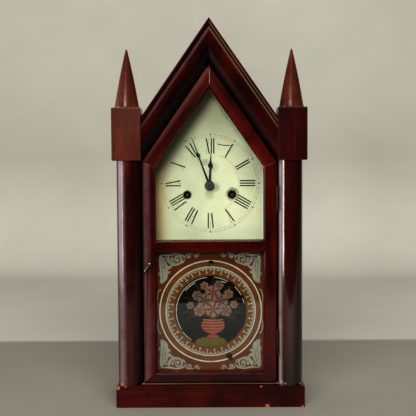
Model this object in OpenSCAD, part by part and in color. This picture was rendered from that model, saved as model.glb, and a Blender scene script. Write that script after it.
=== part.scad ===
// Steeple shelf clock: pointed case with rolled gable mouldings, half columns and turned
// steeples, a glazed door and a thirty-hour striking movement.
// Front faces -Y, +X is to the viewer's right, +Z is up. Origin: middle of the footprint.

/* [Case] */
// Height from the shelf to the gable apex
case_h = 508; // [470:1:560]
// Width of the base
base_w = 246; // [242:1:256]
// Depth of the base, front to back
base_d = 114; // [104:1:130]
// Height of the base
base_h = 28; // [22:1:34]
// Thickness of the base's front and side boards
base_t = 12; // [9:0.5:14]
// Thickness of the floor board
floor_t = 10; // [6:0.5:12]
// Width of the case box behind the columns
case_w = 238; // [236:1:240]
// Thickness of the case sides
side_t = 9; // [6:0.5:11]
// Thickness of the back board
back_t = 7; // [5:0.5:8]
// Thickness of the roof boards
roof_t = 6; // [4:0.5:8]
// Thickness of the front frame, without door or mouldings
frame_t = 18; // [15:0.5:19]
// Slope of the gable in degrees
gable_a = 55.2; // [54.5:0.1:56]

/* [Columns, blocks and steeples] */
// Diameter of a half-round column
column_d = 32.4; // [26:0.2:33]
// Gap between the door and a column
column_gap = 1.5; // [1.3:0.1:2.5]
// Width of a capital block
block_w = 37.6; // [34:0.1:39]
// Height of a capital block
block_h = 68; // [62:0.5:72]
// Depth of the blocks' underside below the gable apex
block_drop = 185.9; // [184:0.1:190]
// Diameter of a steeple at its foot
steeple_d = 33; // [26:0.2:34]
// Height of a steeple
steeple_h = 76; // [60:1:90]

/* [Gable moulding] */
// Width of the moulding, square to the slope
mould_w = 31; // [29:0.1:33]
// How far the moulding's outer bead stands in front of the front frame
mould_rise = 14.5; // [12:0.5:16]
// Width of the outer bead
bead_w = 4.2; // [3:0.1:6]
// Edge of the roof board that shows outside the moulding
roof_lip = 1.7; // [1:0.1:3]

/* [Door] */
// Width of the door
door_w = 175.2; // [172:0.1:176]
// Thickness of the door frame
door_t = 15; // [12:0.5:16]
// How far the door stands in front of the front frame
door_proud = 6; // [5:0.5:7]
// Gap between the door and the moulding, square to the slope
mould_gap = 2.5; // [1.5:0.1:3]
// Width of the door stiles
door_stile_w = 17.4; // [14:0.1:19]
// Width of the door's bottom rail
door_bottom_w = 14.5; // [12:0.5:20]
// Width of the sloping door members
rafter_w = 17.9; // [16:0.1:20]
// Width of the middle rail
mid_rail_w = 17.3; // [15:0.1:22]
// Depth of the middle rail's lower edge below the gable apex
mid_rail_drop = 307; // [302:1:318]
// Gap under the door
door_gap = 1; // [0.6:0.1:2]
// Width of the bevel along the inner edges
door_bevel = 2.2; // [1.6:0.1:5]
// Depth of that bevel
bevel_depth = 3.2; // [2:0.1:5]
// Width of the rebate for the glass
rebate_w = 5; // [3:0.1:6]
// Thickness of the glass
glass_t = 2; // [1.5:0.1:3]
// Depth from the door's front to the front of the glass
glass_set = 9; // [7:0.5:10]

/* [Hinges and latch] */
// Length of a hinge
hinge_l = 32; // [24:1:40]
// Radius of a hinge knuckle
knuckle_r = 1.6; // [1.4:0.05:1.8]
// Radius of a hinge pin
hinge_pin_r = 0.8; // [0.6:0.05:0.9]
// Thickness of a hinge leaf
leaf_t = 0.6; // [0.4:0.05:0.6]
// Height of the lower hinge's middle above the door's foot
hinge_low_up = 55; // [40:1:80]
// Depth of the upper hinge's middle below the door's shoulder
hinge_high_down = 48; // [35:1:70]
// Depth of the latch below the middle rail's lower edge
latch_drop = 15.5; // [14:0.5:30]
// Distance of the latch from the door's outer edge
latch_in = 8.2; // [7.7:0.1:9.2]
// Radius of the latch's hub
latch_hub_r = 2.9; // [2.4:0.1:3.6]
// Length of the latch's finger from the middle of its hub
latch_finger_l = 11; // [9:0.5:12]
// Lean of the free finger from upright
latch_lean = 37; // [0:1:40]
// Running clearance between a pin and its hole, on the radius
running = 0.05; // [0.02:0.01:0.09]

/* [Dial and hands] */
// Depth of the hand arbor below the gable apex
hand_drop = 219.3; // [217:0.1:223]
// Thickness of the dial plate
dial_t = 1; // [0.8:0.1:1.5]
// Depth from the front frame's back to the dial
cleat_t = 6; // [5:0.5:7]
// Radius of the hole for the hands
dial_hole_r = 5; // [4.5:0.1:6]
// Radius of a winding hole
winding_hole_r = 5.4; // [4.5:0.1:7]
// Distance of a winding hole from the middle
winding_x = 30; // [29.5:0.1:31]
// Depth of the winding holes below the hand arbor
winding_drop = 12.5; // [12:0.1:13.5]
// Length of the minute hand
minute_l = 68.5; // [55:0.5:72]
// Length of the hour hand
hour_l = 43; // [34:0.5:50]
// Radius of the minute hand's round foot
minute_hub_r = 4.5; // [3.4:0.1:5]
// Radius of the hour hand's round foot
hour_hub_r = 6.4; // [5.2:0.1:6.8]
// Thickness of the hands
hand_t = 0.8; // [0.5:0.1:1]
// Angle of the minute hand as stored, clockwise from twelve
minute_angle = -20.2; // [-180:0.1:180]
// Angle of the hour hand as stored, clockwise from twelve
hour_angle = 2.6; // [-180:0.1:180]

/* [Movement] */
// Width of the movement plates
plate_w = 126; // [124:1:132]
// Height of the plates below the hand arbor
plate_low = 47; // [45.5:0.5:48]
// Height of the plates above the hand arbor
plate_high = 67; // [66:0.5:72]
// Thickness of the plates
plate_t = 1.8; // [1.4:0.1:2.2]
// Space between the plates
plate_space = 36; // [36:0.5:38]
// Radius of the pillars
pillar_r = 2.6; // [2.3:0.1:2.8]
// Length of the pillars' feet on the back board
foot_l = 2.4; // [1.6:0.1:6]
// Teeth of the time main wheel
time_teeth = 64; // [64]
// Trundles of the centre pinion
centre_trundles = 8; // [8]
// Teeth of the centre wheel and of the third wheel
train_teeth = 72; // [72]
// Trundles of the third and escape pinions
train_trundles = 6; // [6]
// Size of tooth of the centre wheel, pitch diameter over teeth
centre_module = 0.62; // [0.6:0.005:0.63]
// Size of tooth of the third wheel
third_module = 0.5; // [0.49:0.005:0.51]
// Teeth of the escape wheel
escape_teeth = 36; // [36]
// Radius of the escape wheel over its teeth
escape_r = 13.5; // [12:0.1:13.6]
// Distance of the escape arbor to the left of the hand arbor
escape_x = 11; // [10.5:0.1:11.5]
// Height of the escape arbor above the hand arbor
escape_up = 38; // [37.5:0.1:39]
// Height of the pendulum's bending point above the hand arbor
swing_up = 57; // [56.5:0.1:58]
// Length of the pendulum, bending point to the middle of the bob
pendulum_l = 120; // [119:0.5:128]
// Radius of the pendulum bob
bob_r = 15.5; // [12:0.5:16]
// Thickness of the pendulum bob
bob_t = 7; // [4:0.5:7]
// Largest swing of the pendulum to each side, in degrees
swing = 3.5; // [2:0.5:3.5]
// Teeth of the strike main wheel, one to each blow in twelve hours
strike_teeth = 78; // [78]
// Size of tooth of the strike main wheel
strike_module = 0.72; // [0.7:0.005:0.725]
// Play between teeth and trundles
tooth_play = 0.09; // [0.06:0.01:0.12]

/* [Gong and hammer] */
// Height of the gong's middle above the floor of the case
gong_up = 110; // [98:1:114]
// Outer radius of the gong coil
gong_r = 41; // [36:0.5:44]
// Inner radius of the gong coil
gong_inner_r = 14; // [12:0.5:16]
// Turns of the gong coil
gong_turns = 5; // [3:1:6]
// Diameter of the gong wire
gong_wire_d = 2.6; // [2:0.1:3]

/* [Hidden] */

// Small numbers shared by the pieces
touch = 0.3;            // gap left beside what moves
past = 1;               // how far a cut runs past a face
round_fn = 64;          // facets of a true round shape on screen
pin_fn = 8;             // sides of a trundle

// Front faces of the case, as y coordinates
column_behind = 1.8;    // how far a column's face lies behind the base's
base_front = -base_d/2;
column_r = column_d/2;
frame_front = base_front + column_r + column_behind;
frame_back = frame_front + frame_t;
back_face = base_d/2;
back_board_front = back_face - back_t;
door_front = frame_front - door_proud;
door_back = door_front + door_t;

// Places across the case
door_half = door_w/2;
column_x = door_half + column_gap + column_r;
stile_gap = 1.4;        // between the door and a front stile
block_gap = 0.7;        // between the door and a block
stop_w = 4.6;           // width of the stop that the door closes on
gable_stop_w = mould_gap + stop_w - stile_gap;
stop_gap = 0.5;         // between the closed door and its stop
stile_in = door_half + stile_gap;
stop_in = stile_in - stop_w;
block_in = door_half + block_gap;
case_half = case_w/2;
stop_front = door_back + stop_gap;
latch_x = door_half - latch_in;

// Heights above the shelf
block_z = case_h - block_drop;
mid_rail_z = case_h - mid_rail_drop;
latch_z = mid_rail_z - latch_drop;
hand_z = case_h - hand_drop;
gong_z = base_h + gong_up;

// The gable: height of a line that lies a distance u under the outer roof surface
slope = tan(gable_a);
function under(u) = case_h - u/cos(gable_a);
function gable_z(u, x) = under(u) - slope*abs(x);
mould_in = roof_lip + mould_w;
door_top = under(mould_in + mould_gap);
shoulder_z = door_top - slope*door_half;
open_half = door_half - door_stile_w;
open_apex = door_top - rafter_w/cos(gable_a);
open_shoulder = open_apex - slope*open_half;
door_bottom = base_h + door_gap;
low_open_z = door_bottom + door_bottom_w;
mid_top_z = mid_rail_z + mid_rail_w;
hinge_low_z = door_bottom + hinge_low_up;
hinge_high_z = shoulder_z - hinge_high_down;

// Dial planes, as y coordinates
dial_front = frame_back + cleat_t;
dial_back = dial_front + dial_t;

// Movement planes count from the front face of the front plate, which lies at movement_y
plate_front = 0;
plate_back = plate_front + plate_t;
rear_front = plate_back + plate_space;
rear_back = rear_front + plate_t;
movement_y = back_board_front - foot_l - rear_back;
function from_plate(y) = y - movement_y;
module in_case() {
    translate([0, movement_y, 0]) children();
}

// Draws a flat outline, given as [x, z] points, from y0 to y1
module slab(y0, y1) {
    translate([0, y1, 0]) rotate([90, 0, 0]) linear_extrude(y1 - y0) children();
}

// A round bar along Y with its middle at [x, z]
module bar_y(at, y0, y1, r, sides = round_fn) {
    translate([at[0], y1, at[1]]) rotate([90, 0, 0]) cylinder(h = y1 - y0, r = r, $fn = sides);
}

module mirrored(side) {
    mirror([side < 0 ? 1 : 0, 0, 0]) children();
}

wood_dark = [0.20, 0.05, 0.03];
wood_red = [0.33, 0.10, 0.05];
wood_inside = [0.55, 0.38, 0.22];
brass = [0.72, 0.56, 0.24];
steel = [0.45, 0.45, 0.47];
iron = [0.16, 0.15, 0.15];
blued = [0.06, 0.06, 0.08];
dial_paint = [0.80, 0.78, 0.64];

// ---------- Base and case box ----------

module plinth_front() {
    half = base_w/2;
    color(wood_dark) linear_extrude(base_h)
        polygon([[-half, base_front], [half, base_front],
            [half - base_t, base_front + base_t], [-half + base_t, base_front + base_t]]);
}

module plinth_side(side) {
    half = base_w/2;
    color(wood_dark) mirrored(side) linear_extrude(base_h)
        polygon([[half, base_front], [half, back_face], [half - base_t, back_face],
            [half - base_t, base_front + base_t]]);
}
module plinth_side_left() { plinth_side(-1); }
module plinth_side_right() { plinth_side(1); }

module floor_board() {
    half = base_w/2 - base_t;
    color(wood_inside) translate([-half, base_front + base_t, base_h - floor_t])
        cube([2*half, base_d - base_t, floor_t]);
}

// A case side stands on the base and is bevelled under the roof board
module case_side(side) {
    inner = case_half - side_t;
    color(wood_dark) mirrored(side) slab(frame_back, back_board_front)
        polygon([[inner, base_h], [case_half, base_h], [case_half, gable_z(roof_t, case_half)],
            [inner, gable_z(roof_t, inner)]]);
}
module case_side_left() { case_side(-1); }
module case_side_right() { case_side(1); }

module back_board() {
    eave = gable_z(roof_t, case_half);
    color(wood_inside) slab(back_board_front, back_face)
        polygon([[-case_half, base_h], [case_half, base_h], [case_half, eave],
            [0, under(roof_t)], [-case_half, eave]]);
}

// A roof board meets its neighbour in a mitre at the ridge
module roof_board(side) {
    color(wood_dark) mirrored(side) slab(frame_back, back_face)
        polygon([[0, case_h], [case_half, gable_z(0, case_half)],
            [case_half, gable_z(roof_t, case_half)], [0, under(roof_t)]]);
}
module roof_board_left() { roof_board(-1); }
module roof_board_right() { roof_board(1); }

// ---------- Front frame ----------

// A front stile carries the column and has the door's stop along its inner edge
module front_stile(side) {
    color(wood_dark) mirrored(side) translate([0, 0, base_h]) linear_extrude(block_z - base_h)
        polygon([[stile_in, frame_front], [case_half, frame_front], [case_half, frame_back],
            [stop_in, frame_back], [stop_in, stop_front], [stile_in, stop_front]]);
}
module front_stile_left() { front_stile(-1); }
module front_stile_right() { front_stile(1); }

module column(side) {
    color(wood_dark) mirrored(side) translate([column_x, frame_front, base_h])
        intersection() {
            cylinder(h = block_z - base_h, r = column_r, $fn = round_fn);
            translate([-column_r - past, -column_r - past, -past])
                cube([column_d + 2*past, column_r + past, block_z]);
        }
}
module column_left() { column(-1); }
module column_right() { column(1); }

module capital_block(side) {
    color(wood_red) mirrored(side) translate([block_in, base_front, block_z])
        cube([block_w, frame_back - base_front, block_h]);
}
module capital_block_left() { capital_block(-1); }
module capital_block_right() { capital_block(1); }

// A turned steeple: a short foot, a slightly swelling cone and a rounded tip
steeple_foot = 1.5;
steeple_tip_r = 1.2;
steeple_swell = 0.7;
function steeple_r(t) = (1 - t)*(steeple_d/2 - 0.6) + t*steeple_tip_r + steeple_swell*sin(180*t);
module steeple(side) {
    body_h = steeple_h - steeple_foot - steeple_tip_r;
    steps = 10;
    color(wood_red) mirrored(side)
        translate([block_in + block_w/2, (base_front + frame_back)/2, block_z + block_h])
        rotate_extrude($fn = round_fn)
        polygon(concat([[0, 0], [steeple_d/2, 0], [steeple_d/2, steeple_foot]],
            [for (i = [0:steps]) [steeple_r(i/steps), steeple_foot + body_h*i/steps]],
            [for (a = [30:30:60]) [steeple_tip_r*cos(a), steeple_foot + body_h + steeple_tip_r*sin(a)]],
            [[0, steeple_h]]));
}
module steeple_left() { steeple(-1); }
module steeple_right() { steeple(1); }

// ---------- Gable moulding ----------

// Section of the moulding: u runs inwards from the roof surface, v forwards of the frame
stop_v = frame_front - stop_front;
inner_round = 0.8;      // softened inner edge of the roll
// A roll rises from a hollow inside the bead, then falls away more and more to its inner edge
function roll_v(t) = mould_rise*(0.92 - 0.20*pow(1 - t, 8) - 0.60*pow(t, 4));
module moulding_section() {
    step_in = roof_lip + bead_w;
    run = mould_in - step_in;
    parts = 12;
    bead = [for (a = [180:-30:0])
        [roof_lip + bead_w/2 + bead_w/2*cos(a), mould_rise - bead_w/2 + bead_w/2*sin(a)]];
    roll = [for (i = [0:parts]) [step_in + (run - inner_round)*i/parts, roll_v(i/parts)]];
    mirror([0, 1]) polygon(concat([[roof_lip, -frame_t]], bead, roll,
        [[mould_in, roll_v(1) - inner_round], [mould_in, stop_v],
            [mould_in + gable_stop_w, stop_v], [mould_in + gable_stop_w, -frame_t]]));
}

// Lays an outline of [u, y] points along the slope, u square to it and inwards
module down_slope(apex_z, reach) {
    translate([0, 0, apex_z]) rotate([0, 90 + gable_a, 0]) linear_extrude(reach) children();
}

// The moulding runs down the slope from the apex mitre to the block's inner side
module gable_moulding(side) {
    color(wood_dark) mirrored(side) intersection() {
        down_slope(case_h, (block_in + mould_in + 2*gable_stop_w)/cos(gable_a))
            translate([0, frame_front]) moulding_section();
        slab(base_front - past, frame_back)
            polygon([[0, case_h], [block_in, gable_z(0, block_in)], [block_in, block_z],
                [0, block_z]]);
    }
}
module gable_moulding_left() { gable_moulding(-1); }
module gable_moulding_right() { gable_moulding(1); }

// ---------- Door ----------

edge_round = 1.6;
glass_front = door_front + glass_set;

// Section of a door member, w wide: u runs from the outer edge to the glass
module door_section(w) {
    polygon([[0, door_back], [0, door_front + edge_round], [edge_round, door_front],
        [w - door_bevel, door_front], [w, door_front + bevel_depth], [w, glass_front],
        [w - rebate_w, glass_front], [w - rebate_w, door_back]]);
}

module door_stile(side) {
    mirrored(side) intersection() {
        translate([0, 0, door_bottom]) linear_extrude(shoulder_z)
            translate([door_half, 0]) mirror([1, 0]) door_section(door_stile_w);
        slab(door_front - past, door_back + past)
            polygon([[door_half, door_bottom], [door_half, shoulder_z],
                [open_half, open_shoulder], [open_half, low_open_z]]);
    }
}
module door_stile_left() {
    color(wood_dark) difference() {
        door_stile(-1);
        bar_y([-latch_x, latch_z], door_front - past, door_back + past, latch_spindle_r + running);
    }
}
module door_stile_right() { color(wood_dark) door_stile(1); }

module door_rafter(side) {
    color(wood_dark) mirrored(side) intersection() {
        down_slope(door_top, (door_half + 2*rafter_w)/cos(gable_a)) door_section(rafter_w);
        slab(door_front - past, door_back + past)
            polygon([[0, door_top], [door_half, shoulder_z], [open_half, open_shoulder],
                [0, open_apex]]);
    }
}
module door_rafter_left() { door_rafter(-1); }
module door_rafter_right() { door_rafter(1); }

module door_rail_bottom() {
    color(wood_dark) intersection() {
        translate([door_half, 0, door_bottom]) rotate([0, -90, 0]) linear_extrude(door_w)
            door_section(door_bottom_w);
        slab(door_front - past, door_back + past)
            polygon([[-door_half, door_bottom], [door_half, door_bottom],
                [open_half, low_open_z], [-open_half, low_open_z]]);
    }
}

// The middle rail is bevelled and rebated on both edges, and its ends fit over the
// bevels and into the rebates of the stiles
module door_rail_middle() {
    w = mid_rail_w;
    core = w - 2*rebate_w;
    color(wood_dark) union() {
        translate([open_half, 0, mid_rail_z]) rotate([0, -90, 0]) linear_extrude(2*open_half)
            polygon([[0, door_front + bevel_depth], [door_bevel, door_front],
                [w - door_bevel, door_front], [w, door_front + bevel_depth], [w, glass_front],
                [w - rebate_w, glass_front], [w - rebate_w, door_back], [rebate_w, door_back],
                [rebate_w, glass_front], [0, glass_front]]);
        for (side = [-1, 1]) mirrored(side) {
            translate([0, 0, mid_rail_z + door_bevel]) linear_extrude(w - 2*door_bevel)
                polygon([[open_half, door_front], [open_half + door_bevel, door_front],
                    [open_half, door_front + bevel_depth]]);
            translate([open_half, glass_front, mid_rail_z + rebate_w])
                cube([rebate_w, door_back - glass_front, core]);
        }
    }
}

glass_lap = rebate_w - 0.3;
module pane() { color([0.75, 0.85, 0.85, 0.35]) slab(glass_front, glass_front + glass_t) children(); }

module dial_glass() {
    half = open_half + glass_lap;
    apex = open_apex + glass_lap/cos(gable_a);
    pane() polygon([[-half, mid_top_z - glass_lap], [half, mid_top_z - glass_lap],
        [half, apex - slope*half], [0, apex], [-half, apex - slope*half]]);
}

module tablet_glass() {
    half = open_half + glass_lap;
    low = low_open_z - glass_lap;
    high = mid_rail_z + glass_lap;
    pane() polygon([[-half, low], [half, low], [half, high], [-half, high]]);
}

// ---------- Hinges and latch ----------

hinge_x = (door_half + stile_in)/2;
hinge_y = door_front - knuckle_r - touch;
leaf_gap = 0.4;
leaf_back = door_back - 2;

// One half of a butt hinge: inner is the door's half, with the middle knuckle
module hinge_half(middle_z, inner) {
    third = hinge_l/3;
    low = middle_z - hinge_l/2;
    leaf_x = inner ? door_half : stile_in - leaf_t;
    spans = inner ? [[low + third + leaf_gap/2, third - leaf_gap]]
        : [[low, third - leaf_gap/2], [low + 2*third + leaf_gap/2, third - leaf_gap/2]];
    difference() {
        union() {
            translate([leaf_x, door_front, low]) cube([leaf_t, leaf_back - door_front, hinge_l]);
            for (s = spans) {
                translate([hinge_x, hinge_y, s[0]]) cylinder(h = s[1], r = knuckle_r, $fn = round_fn);
                translate([leaf_x, hinge_y, s[0]]) cube([leaf_t, door_front - hinge_y, s[1]]);
            }
        }
        if (inner) translate([hinge_x, hinge_y, low - past])
            cylinder(h = hinge_l + 2*past, r = hinge_pin_r + running, $fn = round_fn);
    }
    if (!inner) translate([hinge_x, hinge_y, low - 0.8])
        cylinder(h = hinge_l + 1.6, r = hinge_pin_r, $fn = round_fn);
}
module door_hinge_leaves() {
    color(brass) for (z = [hinge_low_z, hinge_high_z]) hinge_half(z, true);
}
module case_hinge_leaves() {
    color(brass) for (z = [hinge_low_z, hinge_high_z]) union() hinge_half(z, false);
}

// Turn latch: a turned hub and finger on the door's face, a spindle, and a tongue behind
// the stile
latch_spindle_r = 1.9;
latch_tongue_l = 10;
latch_tongue_t = 1.5;
catch_t = 0.8;
latch_hub_l = 5.6;
finger_up = 3.6;        // height of the finger's middle line over the door's face
finger_neck_r = 1.1;
finger_swell = 0.6;
finger_ball_r = 1.9;
module latch_hub() {
    r = latch_hub_r;
    rotate([90, 0, 0]) rotate_extrude($fn = round_fn)
        polygon([[0, 0], [r, 0], [r, 0.8], [r*0.7, 1.5], [r*0.7, 2.2], [r*0.88, 3],
            [r*0.88, 4.2], [r*0.6, latch_hub_l - 0.3], [0, latch_hub_l]]);
}
module latch_finger() {
    stem = latch_finger_l - 1.7*finger_ball_r;
    rotate_extrude($fn = round_fn)
        polygon(concat([[0, 0]],
            [for (t = [0:0.125:1]) [finger_neck_r + finger_swell*sin(180*t), stem*t]],
            [for (a = [-36:18:72]) [finger_ball_r*cos(a),
                latch_finger_l - finger_ball_r*(1 - sin(a))]],
            [[0, latch_finger_l]]));
}
module latch_turn() {
    tongue_y = frame_back + catch_t + touch;
    color(brass) union() {
        translate([-latch_x, door_front - touch, latch_z]) {
            latch_hub();
            translate([0, -finger_up, 0]) rotate([0, 180 + latch_lean, 0]) latch_finger();
        }
        bar_y([-latch_x, latch_z], door_front - touch - past, tongue_y + latch_tongue_t,
            latch_spindle_r);
        translate([-latch_x - 2.2, tongue_y, latch_z - 2.2])
            cube([4.4, latch_tongue_t, latch_tongue_l + 2.2]);
    }
}

module latch_catch_plate() {
    color(brass) translate([-stile_in, frame_back, latch_z - 10])
        cube([stile_in - stop_in - 0.2, catch_t, 20]);
}

// ---------- Dial ----------

dial_half = stop_in + 8;
dial_low = mid_rail_z + rebate_w;
dial_u = mould_in - 2.4;
cleat_w = 10;
dial_screw_up = [20, 94];   // heights of the dial's screws above its lower edge

function dial_screw_places() = [for (side = [-1, 1], up = dial_screw_up)
    [side*(stop_in + cleat_w/2), dial_low + up]];
dial_screw_r = 0.9;

module dial_cleats() {
    reach = mould_in + gable_stop_w;
    cleat_top = block_z - 5;
    ridge_gap = 3;
    color(wood_inside) for (side = [-1, 1]) {
        difference() {
            mirrored(side) slab(frame_back, dial_front)
                polygon([[stop_in, dial_low], [stop_in + cleat_w, dial_low],
                    [stop_in + cleat_w, cleat_top], [stop_in, cleat_top]]);
            for (p = dial_screw_places())
                bar_y(p, frame_back + 1.5, dial_front + past, dial_screw_r + running);
        }
        mirrored(side) slab(frame_back, dial_front)
            polygon([[ridge_gap, gable_z(reach - cleat_w, ridge_gap)],
                [stop_in, gable_z(reach - cleat_w, stop_in)],
                [stop_in, gable_z(reach, stop_in)], [ridge_gap, gable_z(reach, ridge_gap)]]);
    }
}

module dial_plate() {
    top = gable_z(dial_u, dial_half);
    color(dial_paint) difference() {
        slab(dial_front, dial_back)
            polygon([[-dial_half, dial_low], [dial_half, dial_low], [dial_half, top],
                [0, under(dial_u)], [-dial_half, top]]);
        bar_y([0, hand_z], dial_front - past, dial_back + past, dial_hole_r);
        for (side = [-1, 1])
            bar_y([side*winding_x, hand_z - winding_drop], dial_front - past, dial_back + past,
                winding_hole_r);
        for (p = dial_screw_places())
            bar_y(p, dial_front - past, dial_back + past, dial_screw_r + running);
    }
}

// ---------- Gear forms ----------

// Wheels have cycloidal teeth that run on lantern pinions: round trundles between two
// shrouds. The path of a trundle's middle as the pinion rolls on the wheel, r_w and r_p
// being the pitch radii and t the turn of the line of centres
function trundle_path(r_w, r_p, t) = [
    (r_w + r_p)*cos(t) - r_p*cos(t*(1 + r_w/r_p)),
    (r_w + r_p)*sin(t) - r_p*sin(t*(1 + r_w/r_p))];
// The tooth's flank lies one trundle radius from that path, towards the pitch point
function flank(r_w, r_p, r_t, t) =
    let (m = trundle_path(r_w, r_p, t), c = [r_w*cos(t), r_w*sin(t)], d = c - m)
    m + d*(r_t/norm(d));
function turned(p, a) = [p[0]*cos(a) - p[1]*sin(a), p[0]*sin(a) + p[1]*cos(a)];
function flipped(p) = [p[0], -p[1]];

// Radius of a trundle for a given size of tooth
function trundle_r(module_size) = 0.22*PI*module_size;

// Outline of a toothed wheel with a tooth space at angle 0
module wheel_outline(teeth, trundles, size) {
    r_w = size*teeth/2;
    r_p = size*trundles/2;
    gap_r = trundle_r(size) + tooth_play;
    pitch = 360/teeth;
    last = 0.85*pitch;
    root = r_w - gap_r - 0.15;
    root_a = gap_r/r_w*180/PI*0.96;
    side = [[root*cos(root_a), root*sin(root_a)], [r_w*cos(root_a), r_w*sin(root_a) + 0.01],
        flank(r_w, r_p, gap_r, 0.6*last), flank(r_w, r_p, gap_r, last)];
    tooth = concat(side, [for (i = [3:-1:0]) turned(flipped(side[i]), pitch)]);
    polygon([for (n = [0:teeth - 1], p = tooth) turned(p, n*pitch)]);
}

// Arms: cuts that leave spokes between a hub and a rim
module crossings(inner, outer, arms, arm_w) {
    for (n = [0:arms - 1]) rotate(n*360/arms) intersection() {
        difference() {
            circle(r = outer, $fn = round_fn);
            circle(r = inner, $fn = round_fn);
        }
        half = 180/arms;
        wedge = arm_w/2/sin(half);
        polygon([[wedge, 0], [wedge + 2*outer*cos(half), 2*outer*sin(half)],
            [3*outer, 0], [wedge + 2*outer*cos(half), -2*outer*sin(half)]]);
    }
}

// A wheel at [x, z] whose tooth space points at angle a, with its arms cut out
module wheel_at(at, a, y0, y1, teeth, trundles, size, hub, rim, arms = 4, arm_w = 3) {
    translate([at[0], 0, at[1]]) slab(y0, y1) difference() {
        rotate(a) wheel_outline(teeth, trundles, size);
        crossings(hub, size*teeth/2 - rim, arms, arm_w);
    }
}

// A lantern pinion at [x, z] with a trundle pointing at angle a
module lantern_at(at, a, y0, y1, trundles, size, shroud = 0.9) {
    r = size*trundles/2;
    r_t = trundle_r(size);
    for (y = [y0, y1 - shroud]) bar_y(at, y, y + shroud, r + r_t + 0.4);
    for (n = [0:trundles - 1]) {
        p = at + r*[cos(a + n*360/trundles), sin(a + n*360/trundles)];
        bar_y(p, y0 + shroud/2, y1 - shroud/2, r_t, pin_fn);
    }
}

function bearing(from, to) = atan2(to[1] - from[1], to[0] - from[0]);
function meet(size, a, b) = size*(a + b)/2;

// ---------- Arbor places, as [x, z] ----------

hands_at = [0, hand_z];
time_at = hands_at + [winding_x, -winding_drop];
strike_at = hands_at + [-winding_x, -winding_drop];
// Size of tooth that lets the time main wheel reach the centre pinion
time_module = 2*norm(time_at - hands_at)/(time_teeth + centre_trundles);
escape_at = hands_at + [-escape_x, escape_up];
swing_at = hands_at + [-escape_x, swing_up];

// The third arbor lies where both its wheels mesh
centre_to_third = meet(centre_module, train_teeth, train_trundles);
third_to_escape = meet(third_module, train_teeth, train_trundles);
centre_to_escape = norm(escape_at - hands_at);
third_along = (pow(centre_to_third, 2) - pow(third_to_escape, 2) + pow(centre_to_escape, 2))
    /(2*centre_to_escape);
third_aside = sqrt(pow(centre_to_third, 2) - pow(third_along, 2));
train_way = (escape_at - hands_at)/centre_to_escape;
third_at = hands_at + third_along*train_way + third_aside*[train_way[1], -train_way[0]];

// Strike train, arbor to arbor
pin_trundles = 8;
pin_teeth = 56;
pin_module = 0.55;
warning_trundles = 7;
warning_teeth = 48;
warning_module = 0.5;
fly_trundles = 6;
pin_way = 97.4;
warning_way = 60;
fly_way = 100;
function step_to(from, a, d) = from + d*[cos(a), sin(a)];
pin_at = step_to(strike_at, pin_way, meet(strike_module, strike_teeth, pin_trundles));
warning_at = step_to(pin_at, warning_way, meet(pin_module, pin_teeth, warning_trundles));
fly_at = step_to(warning_at, fly_way, meet(warning_module, warning_teeth, fly_trundles));
hammer_at = hands_at + [-(plate_w/2 - 7), 12];

// Motion work in front of the front plate
cannon_trundles = 12;
minute_teeth = 36;
minute_trundles = 10;
hour_teeth = 40;
cannon_module = 0.72;
minute_way = 20;
minute_at = step_to(hands_at, minute_way, meet(cannon_module, minute_teeth, cannon_trundles));
hour_module = 2*norm(minute_at - hands_at)/(hour_teeth + minute_trundles);

// ---------- Movement frame ----------

pivot_r = 0.8;          // pivots of the stouter arbors
arbor_r = 1.2;          // the stouter arbors between the plates
fine_pivot_r = 0.5;     // pivots of the arbors that carry small pinions
fine_arbor_r = 0.72;
hand_arbor_r = 1.8;
sleeve_r = 2.8;
winding_r = 2.6;
key_square = 3.6;
low_pillar = [plate_w/2 - 16.5, -(plate_low - 5.5)];
high_pillar = [plate_w/2 - 7, plate_high - 10];
pillar_places = [for (side = [-1, 1], p = [low_pillar, high_pillar])
    hands_at + [side*p[0], p[1]]];
tenon_r = 1.8;
nut_t = 2;
plate_holes = [[third_at, fine_pivot_r], [warning_at, fine_pivot_r], [fly_at, fine_pivot_r],
    [escape_at, fine_pivot_r], [pin_at, pivot_r], [hammer_at, pivot_r],
    [hands_at, hand_arbor_r], [time_at, winding_r], [strike_at, winding_r]];

// Windows between the trains: lower left corner from the hand arbor, and size
plate_windows = [[[24, 12], [26, 36]], [[-11, -38], [22, 20]], [[8, 46], [34, 12]],
    [[-winding_x - 14, -41], [28, 8]], [[winding_x - 14, -41], [28, 8]]];

module plate_blank() {
    half = plate_w/2;
    corner = 6;
    low = hand_z - plate_low;
    high = hand_z + plate_high;
    difference() {
        polygon([[-half + corner, low], [half - corner, low], [half, low + corner],
            [half, high - corner], [half - corner, high], [-half + corner, high],
            [-half, high - corner], [-half, low + corner]]);
        for (w = plate_windows) translate(hands_at + w[0]) square(w[1]);
    }
}

module movement_plate(y0, y1) {
    difference() {
        slab(y0, y1) plate_blank();
        for (h = plate_holes) bar_y(h[0], y0 - past, y1 + past, h[1] + running);
        for (p = pillar_places) bar_y(p, y0 - past, y1 + past, tenon_r + running);
    }
}
module movement_front_plate() { color(brass) in_case() movement_plate(plate_front, plate_back); }
module movement_back_plate() { color(brass) in_case() movement_plate(rear_front, rear_back); }

// Pillars with a tenon at the front, and a foot that reaches the back board
module movement_pillars() {
    color(brass) in_case() for (p = pillar_places) union() {
        bar_y(p, plate_back, rear_front, pillar_r);
        bar_y(p, plate_front - nut_t, rear_back + past, tenon_r);
        difference() {
            bar_y(p, rear_back, rear_back + foot_l, pillar_r + 0.8);
            bar_y(p, rear_back - past, rear_back + past/2, tenon_r);
        }
    }
}

screw_head_t = 1.2;
gong_screw_r = 1.4;
function gong_screw_places() = [for (side = [-1, 1]) gong_foot_at + [side*gong_foot_l/2*0.72, 0]];

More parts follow.
